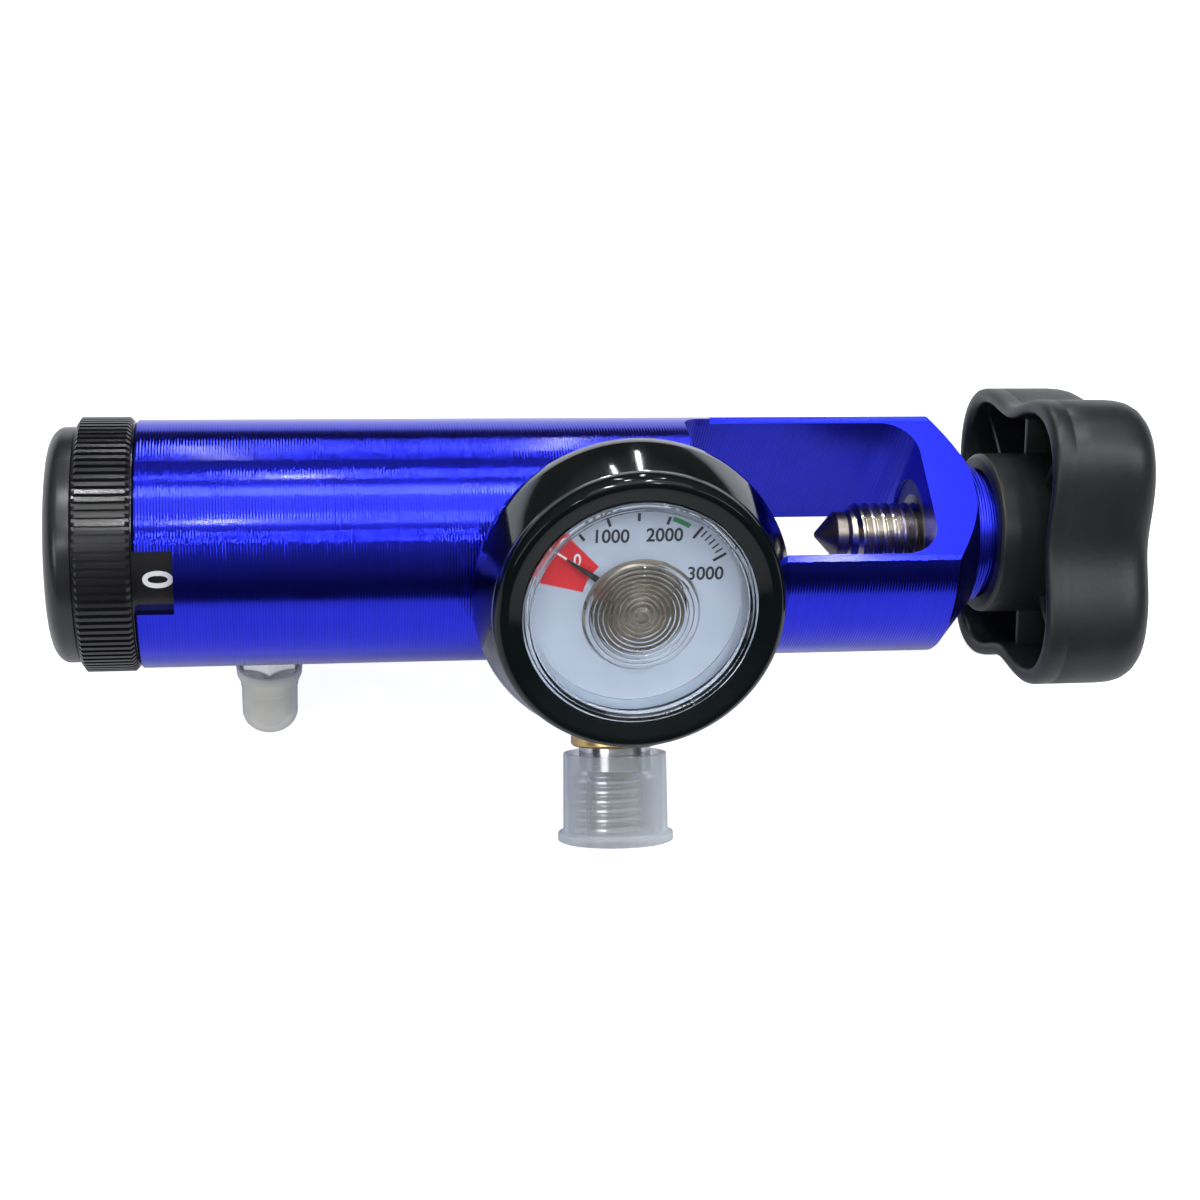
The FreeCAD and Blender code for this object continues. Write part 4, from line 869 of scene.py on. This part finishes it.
black_lines = ticks(*BLACK_TICKS[0])
for row in BLACK_TICKS[1:]:
    black_lines = black_lines.math("MAXIMUM", black_lines, ticks(*row))
printed_colour = dial_print.place.noise(240, 3).mixed(PAPER_DARK, PAPER_LIGHT)
printed_colour = field(*RED_FIELD).mixed(printed_colour, RED)
printed_colour = field(*GREEN_FIELD).mixed(printed_colour, GREEN)
printed_colour = ticks(*WHITE_TICK).mixed(printed_colour, TICK_WHITE)
printed_colour = black_lines.mixed(printed_colour, TICK_BLACK)
dial_print.set(Base_Color=printed_colour)
dial_print.on(nodes["gauge_dial"])

SCALE_SIZE = 2.75
SCALE_SQUEEZE = 0.95
SCALE = [("1000", 111.0, 10.85), ("2000", 71.7, 10.8), ("3000", 24.9, 10.5)]
ZERO_SIZE = 2.6
ZERO_SQUEEZE = 0.85
ZERO = ("0", 142.4, 10.9)
PRINT_HEIGHT = 24.42
PRINT_DEPTH = 0.01


def dial_mark(name, size, squeeze, text, degrees, radius):
    """Type on the dial, upright at this bearing and radius."""
    angle = math.radians(degrees)
    place = Vector((radius * math.cos(angle), radius * math.sin(angle), PRINT_HEIGHT)) * MM
    narrow = Matrix.Diagonal((squeeze, 1.0, 1.0, 1.0))
    mark = digits(name, text, size, PRINT_DEPTH)
    return put(mark, upright @ Matrix.Translation(place) @ narrow)


black_ink = Finish("black print", Roughness=0.5)
ink_fleck = black_ink.place.noise(3000)
black_ink.set(Base_Color=ink_fleck.mixed((0.01, 0.01, 0.012, 1), (0.035, 0.035, 0.04, 1)))
scale_numbers = joined("scale_numbers", [
    dial_mark("mark", SCALE_SIZE, SCALE_SQUEEZE, *row) for row in SCALE
])
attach(scale_numbers, "regulator")
black_ink.on(scale_numbers)
zero = dial_mark("zero_mark", ZERO_SIZE, ZERO_SQUEEZE, *ZERO)
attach(zero, "regulator")
white_ink.on(zero)

# Threaded outlet: a nickel-plated fitting with a six-sided root, a brass collar
# and an oxygen thread, under a milky push-on cap with a flange.
OUTLET = (-12.4, -35.2)
THREAD_ROOT = 6.15
THREAD_CREST = 7.1
THREAD_PITCH = 1.411
THREAD_START = 35.1
THREAD_TURNS = 6
BORE = 3.2


def helix(name, root, crest, pitch, start, turns, flat=0.12):
    """A thread's ridge wound about Z, closed at its ends."""
    section = [
        (root - 0.25, 0.02), (root, 0.02), (crest, pitch * (0.5 - flat)),
        (crest, pitch * (0.5 + flat)), (root, pitch - 0.02), (root - 0.25, pitch - 0.02),
    ]
    points = [Vector((r * MM, 0, (start + h) * MM)) for r, h in section]
    piece = drawn(name, points + points[:1])
    applied(piece, "WELD", merge_threshold=DOUBLES)
    applied(
        piece, "SCREW", axis="Z", steps=48, render_steps=48, iterations=turns,
        screw_offset=pitch * MM,
    )
    bpy.ops.object.mode_set(mode="EDIT")
    bpy.ops.mesh.select_all(action="SELECT")
    bpy.ops.mesh.remove_doubles(threshold=SEAM)
    bpy.ops.mesh.select_mode(type="EDGE")
    bpy.ops.mesh.select_all(action="DESELECT")
    bpy.ops.mesh.select_non_manifold()
    bpy.ops.mesh.edge_face_add()
    bpy.ops.object.mode_set(mode="OBJECT")
    return finished(piece, 30)


def six_sided(name, across, low, high):
    """A hexagon with its corners turned off at both ends."""
    corner = across / math.sqrt(3)
    bpy.ops.object.select_all(action="DESELECT")
    bpy.ops.mesh.primitive_cylinder_add(
        vertices=6, radius=corner * MM, depth=(high - low) * MM,
        location=(0, 0, (low + high) / 2 * MM),
    )
    nut = bpy.context.object
    nut.name = name
    bpy.ops.object.transform_apply(location=True, rotation=True, scale=True)
    corner += 0.01
    slope = (corner - across / 2) * 0.6
    cut(nut, turned_up("corner tool", [
        (0.0, low), (across / 2, low), (corner, low + slope), (corner, high - slope),
        (across / 2, high), (0.0, high),
    ], steps=96), "INTERSECT")
    finished(nut)
    broken_edges(nut, 0.1)
    return finished(nut)


outlet = joined("outlet_body", [
    turned_up("outlet_stem", [
        (BORE, 9.3), (5.0, 9.3), (5.0, 23.4), (5.4, 23.4), (5.4, 34.9), (THREAD_ROOT, 35.4),
        (THREAD_ROOT, 43.1), (5.8, 43.5), (2.2, 43.5), (2.2, 41.5), (BORE, 41.5),
    ], steps=96, edge=0.1),
    helix("outlet_thread", THREAD_ROOT, THREAD_CREST, THREAD_PITCH, THREAD_START, THREAD_TURNS),
    six_sided("outlet_nut", 12.7, 18.2, 23.4),
])
stood(outlet, *OUTLET)
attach(outlet, "regulator")
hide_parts("outlet_fitting")
nickel = Finish("nickel plate", Metallic=1.0)
plate = nickel.place.noise(180, 3)
nickel.set(
    Base_Color=plate.mixed((0.52, 0.53, 0.56, 1), (0.76, 0.77, 0.80, 1)),
    Roughness=0.12 + plate * 0.14,
)
nickel.bumped(nickel.place.noise(900, 3), 0.006)
nickel.on(outlet)

collar = turned_up("outlet_collar", [
    (5.3, 29.6), (6.3, 29.6), (6.6, 29.9), (6.6, 31.0), (6.3, 31.3), (5.3, 31.3),
], steps=96, edge=0.1)
stood(collar, *OUTLET)
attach(collar, "regulator")
brass.on(collar)

COVER_BORE_R = 7.18
COVER_START = 32.4
COVER_FLOOR = 44.4
COVER_END = 45.8
FLANGE_R = 8.7
outlet_cover = turned_up("outlet_cover", [
    (COVER_BORE_R, COVER_START), (7.78, COVER_START), (7.9, 44.0), (FLANGE_R, COVER_FLOOR),
    (FLANGE_R, 45.6), (8.2, COVER_END), (0.0, COVER_END), (0.0, COVER_FLOOR),
    (COVER_BORE_R, COVER_FLOOR),
], edge=0.12)
stood(outlet_cover, *OUTLET)
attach(outlet_cover, "outlet_dust_cap")
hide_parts("outlet_cap")


MILK_MOST = 0.97


def milky(name, thin, thick, cover, shine):
    """Translucent plastic: partly clear face on, denser at its edges."""
    finish = Finish(name, Roughness=shine, Specular_IOR_Level=0.6)
    edge = finish.place.node("ShaderNodeLayerWeight", {}, {"Blend": 0.45}, "Facing")
    haze = finish.place.noise(150, 3)
    finish.set(Base_Color=(edge * 0.8 + haze * 0.3).mixed(thin, thick))
    dense = edge * 0.75 + haze * 0.16 + cover
    tree = finish.tree
    see_through = tree.nodes.new("ShaderNodeBsdfTransparent")
    mix = tree.nodes.new("ShaderNodeMixShader")
    tree.links.new(dense.math("MINIMUM", dense, MILK_MOST).socket, mix.inputs["Fac"])
    tree.links.new(see_through.outputs[0], mix.inputs[1])
    tree.links.new(finish.shader.outputs[0], mix.inputs[2])
    tree.links.new(mix.outputs[0], tree.nodes["Material Output"].inputs["Surface"])
    return finish


milk = milky("milky cap", (0.84, 0.89, 0.93, 1), (0.58, 0.66, 0.74, 1), 0.12, 0.14)
milk.on(outlet_cover)

# Hose barb: a small plated fitting with ridges for soft tubing, screwed in
# below the flow dial, under a warm white cap with a flared mouth.
BARB = (-63.7, -65.0)
barb = joined("barb_body", [
    turned_up("barb_stem", [
        (1.3, 8.6), (3.4, 8.6), (3.4, 22.8), (2.4, 23.3), (2.4, 25.0), (3.1, 25.35), (2.4, 27.1),
        (2.4, 27.2), (3.1, 27.55), (2.4, 29.4), (1.3, 29.4),
    ], steps=64, edge=0.06),
    six_sided("barb_nut", 7.6, 17.6, 22.8),
])
stood(barb, *BARB)
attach(barb, "regulator")
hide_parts("hose_barb")
nickel.on(barb)

CAP_R = 4.2
CAP_SIDE_END = 29.6
CAP_ROUND = 3.0
barb_cover = turned_up("barb_cover", [
    (4.5, 21.2), (4.9, 21.2), (5.0, 21.4), (4.9, 22.7), (4.3, 24.2), (4.35, 24.6), (4.25, 24.9),
    (4.22, 25.2),
] + [
    (CAP_R - CAP_ROUND * inward, CAP_SIDE_END + CAP_ROUND * on) for on, inward in quarter(0)
] + [
    (0.0, CAP_SIDE_END + CAP_ROUND), (0.0, 31.9), (1.75, 31.9), (3.5, CAP_SIDE_END), (3.5, 24.4),
    (4.4, 22.8),
], steps=96)
stood(barb_cover, *BARB)
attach(barb_cover, "hose_dust_cap")
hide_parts("barb_cap")
warm_milk = milky("warm white cap", (0.90, 0.90, 0.84, 1), (0.70, 0.70, 0.63, 1), 0.3, 0.16)
warm_milk.on(barb_cover)

# Clamp screw: a steel screw with a coarse thread, whose hard cone-ended point
# turns freely in it and bites into the cylinder valve.
SCREW_START = 23.55
SHANK_START = 43.5
POINT_SOCKET_R = 1.65
SCREW_ROOT = 3.9
SCREW_CREST = 4.7625
SCREW_PITCH = 1.5875
SCREW_TURNS = 12


def laid(piece, x):
    """A piece built up along Z laid along the barrel from x."""
    over = Matrix.Rotation(math.radians(90), 4, "Y")
    return put(piece, Matrix.Translation((x * MM, 0, 0)) @ over)


screw = joined("clamp_thread", [
    laid(turned_up("clamp_core", [
        (POINT_SOCKET_R, 0.0), (3.4, 0.0), (SCREW_ROOT, 0.5), (SCREW_ROOT, 37.0), (0.0, 37.0),
        (0.0, 6.3), (POINT_SOCKET_R, 6.3),
    ], steps=96, edge=0.1), SCREW_START),
    laid(helix(
        "clamp_ridge", SCREW_ROOT - 0.05, SCREW_CREST, SCREW_PITCH, 0.35, SCREW_TURNS, flat=0.1,
    ), SCREW_START),
    laid(turned_up("clamp_shank", [
        (0.0, 0.0), (4.3, 0.0), (4.76, 0.5), (4.76, 17.0), (0.0, 17.0),
    ], steps=96), SHANK_START),
])
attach(screw, "hand_screw")
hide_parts("clamp_screw")
bright = Finish("bright screw steel", Metallic=1.0)
streak = bright.place.noise(420, 4, (1, 0.4, 0.4))
bright.set(
    Base_Color=streak.mixed((0.30, 0.27, 0.23, 1), (0.74, 0.70, 0.64, 1)),
    Roughness=0.14 + streak * 0.2,
)
bright.bumped(bright.place.noise(1300, 3), 0.008)
bright.on(screw)

point = turned("screw_point", [
    (18.9, 0.0), (18.95, 0.35), (21.7, 3.3), (21.9, 3.5), (23.45, 3.5), (23.5, 3.4), (23.5, 1.6),
    (29.4, 1.6), (29.5, 1.5), (29.5, 0.0),
], steps=96)
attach(point, "screw_point")
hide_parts("screw_tip")
hard = Finish("hardened point", Metallic=1.0)
blued = hard.place.noise(300, 4, (1, 0.3, 0.3))
hard.set(
    Base_Color=blued.mixed((0.13, 0.11, 0.10, 1), (0.42, 0.38, 0.34, 1)),
    Roughness=0.25 + blued * 0.2,
)
hard.bumped(hard.place.noise(1500, 3, (1, 0.2, 0.2)), 0.01)
hard.on(point)

# Hand knob: a black moulded cup of four lobes, open towards the barrel, with a
# round hub over the screw and thin ribs between hub and wall.
LOBES = 4
KNOB_R = 23.0
LOBE_HEIGHT = 3.3
KNOB_TURN = 1.4
KNOB_STEPS = 144
FLAT_SCALE = 0.0001
# The wall's stations as (x, how far in from the outline), from the closed back
# out over the rim at the barrel's side and inside again.
STATIONS = [
    (65.7, 23.0), (65.7, 12.0), (65.7, 4.6), (65.5, 3.3), (64.9, 2.0), (64.0, 1.1), (62.8, 0.45),
    (61.4, 0.12), (59.6, 0.0), (55.0, 0.0), (52.35, 0.0), (52.2, 0.07), (52.0, 0.07),
    (51.85, 0.0), (50.0, 0.0), (49.4, 0.15), (49.05, 0.5), (48.9, 1.0), (48.9, 1.5),
    (49.05, 2.0), (49.4, 2.3), (50.0, 2.4), (55.0, 2.45), (61.6, 2.6), (62.4, 3.0), (62.7, 4.0),
    (62.7, 12.0), (62.7, 23.0),
]

bpy.ops.object.select_all(action="DESELECT")
bpy.ops.mesh.primitive_circle_add(
    vertices=KNOB_STEPS, radius=KNOB_R * MM, rotation=(0, math.pi / 2, 0),
)
knob = bpy.context.object
knob.name = "knob_shell"
bpy.ops.object.transform_apply(location=True, rotation=True, scale=True)
for vertex in knob.data.vertices:
    angle = math.atan2(vertex.co.z, vertex.co.y)
    lobe = LOBE_HEIGHT * math.cos(LOBES * (angle + math.radians(KNOB_TURN)))
    radius = (KNOB_R + lobe) * MM
    vertex.co = (0, radius * math.cos(angle), radius * math.sin(angle))
back = STATIONS[0][0] * MM
bpy.ops.object.mode_set(mode="EDIT")
bpy.ops.mesh.select_all(action="SELECT")
bpy.ops.transform.translate(value=(back, 0, 0))
bpy.ops.transform.resize(value=(1, FLAT_SCALE, FLAT_SCALE), center_override=(back, 0, 0))
scale_now = FLAT_SCALE
for (here, _), (there, inset) in zip(STATIONS, STATIONS[1:]):
    step = ((there - here) * MM, 0, 0)
    bpy.ops.mesh.extrude_region_move(TRANSFORM_OT_translate={"value": step})
    wanted = max(1 - inset / KNOB_R, FLAT_SCALE)
    share = wanted / scale_now
    bpy.ops.transform.resize(value=(1, share, share), center_override=(there * MM, 0, 0))
    scale_now = wanted
bpy.ops.object.mode_set(mode="OBJECT")
applied(knob, "WELD", merge_threshold=0.02 * MM)
finished(knob, 40)

WEBS = 8
WEB_HALF = 0.5
WEB_FROM = 11.5
LONG_WEB = 24.6
SHORT_WEB = 18.4
hub_core = turned("knob_hub", [
    (44.6, 9.9), (44.6, 11.7), (45.1, 12.2), (63.1, 12.4), (63.1, 4.7), (51.0, 4.7), (51.0, 9.9),
], steps=96, edge=0.15)
webs = []
for i in range(WEBS):
    reach = SHORT_WEB if i % 2 else LONG_WEB
    web = block("web", (52.1, WEB_FROM, -WEB_HALF), (63.0, reach, WEB_HALF))
    broken_edges(web, 0.2)
    bearing = math.radians(360 / WEBS * i - KNOB_TURN)
    webs.append(put(web, Matrix.Rotation(bearing, 4, "X")))
hand_grip = joined("hand_grip", [knob, hub_core] + webs)
finished(hand_grip, 40)
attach(hand_grip, "hand_screw")
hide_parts("hand_knob")

matte = Finish("black knob plastic", Specular_IOR_Level=0.45)
pebble = matte.place.noise(1400, 4)
rubbed = matte.place.noise(90, 4)
flow_lines = matte.place.noise(140, 3, (0.25, 1, 1))
uneven = rubbed * 0.6 + flow_lines * 0.4
matte.set(
    Base_Color=uneven.mixed((0.006, 0.0065, 0.007, 1), (0.022, 0.024, 0.027, 1)),
    Roughness=0.24 + pebble * 0.12 + rubbed * 0.16,
)
matte.bumped(pebble * 0.6 + flow_lines * 0.8, 0.03)
matte.on(hand_grip)
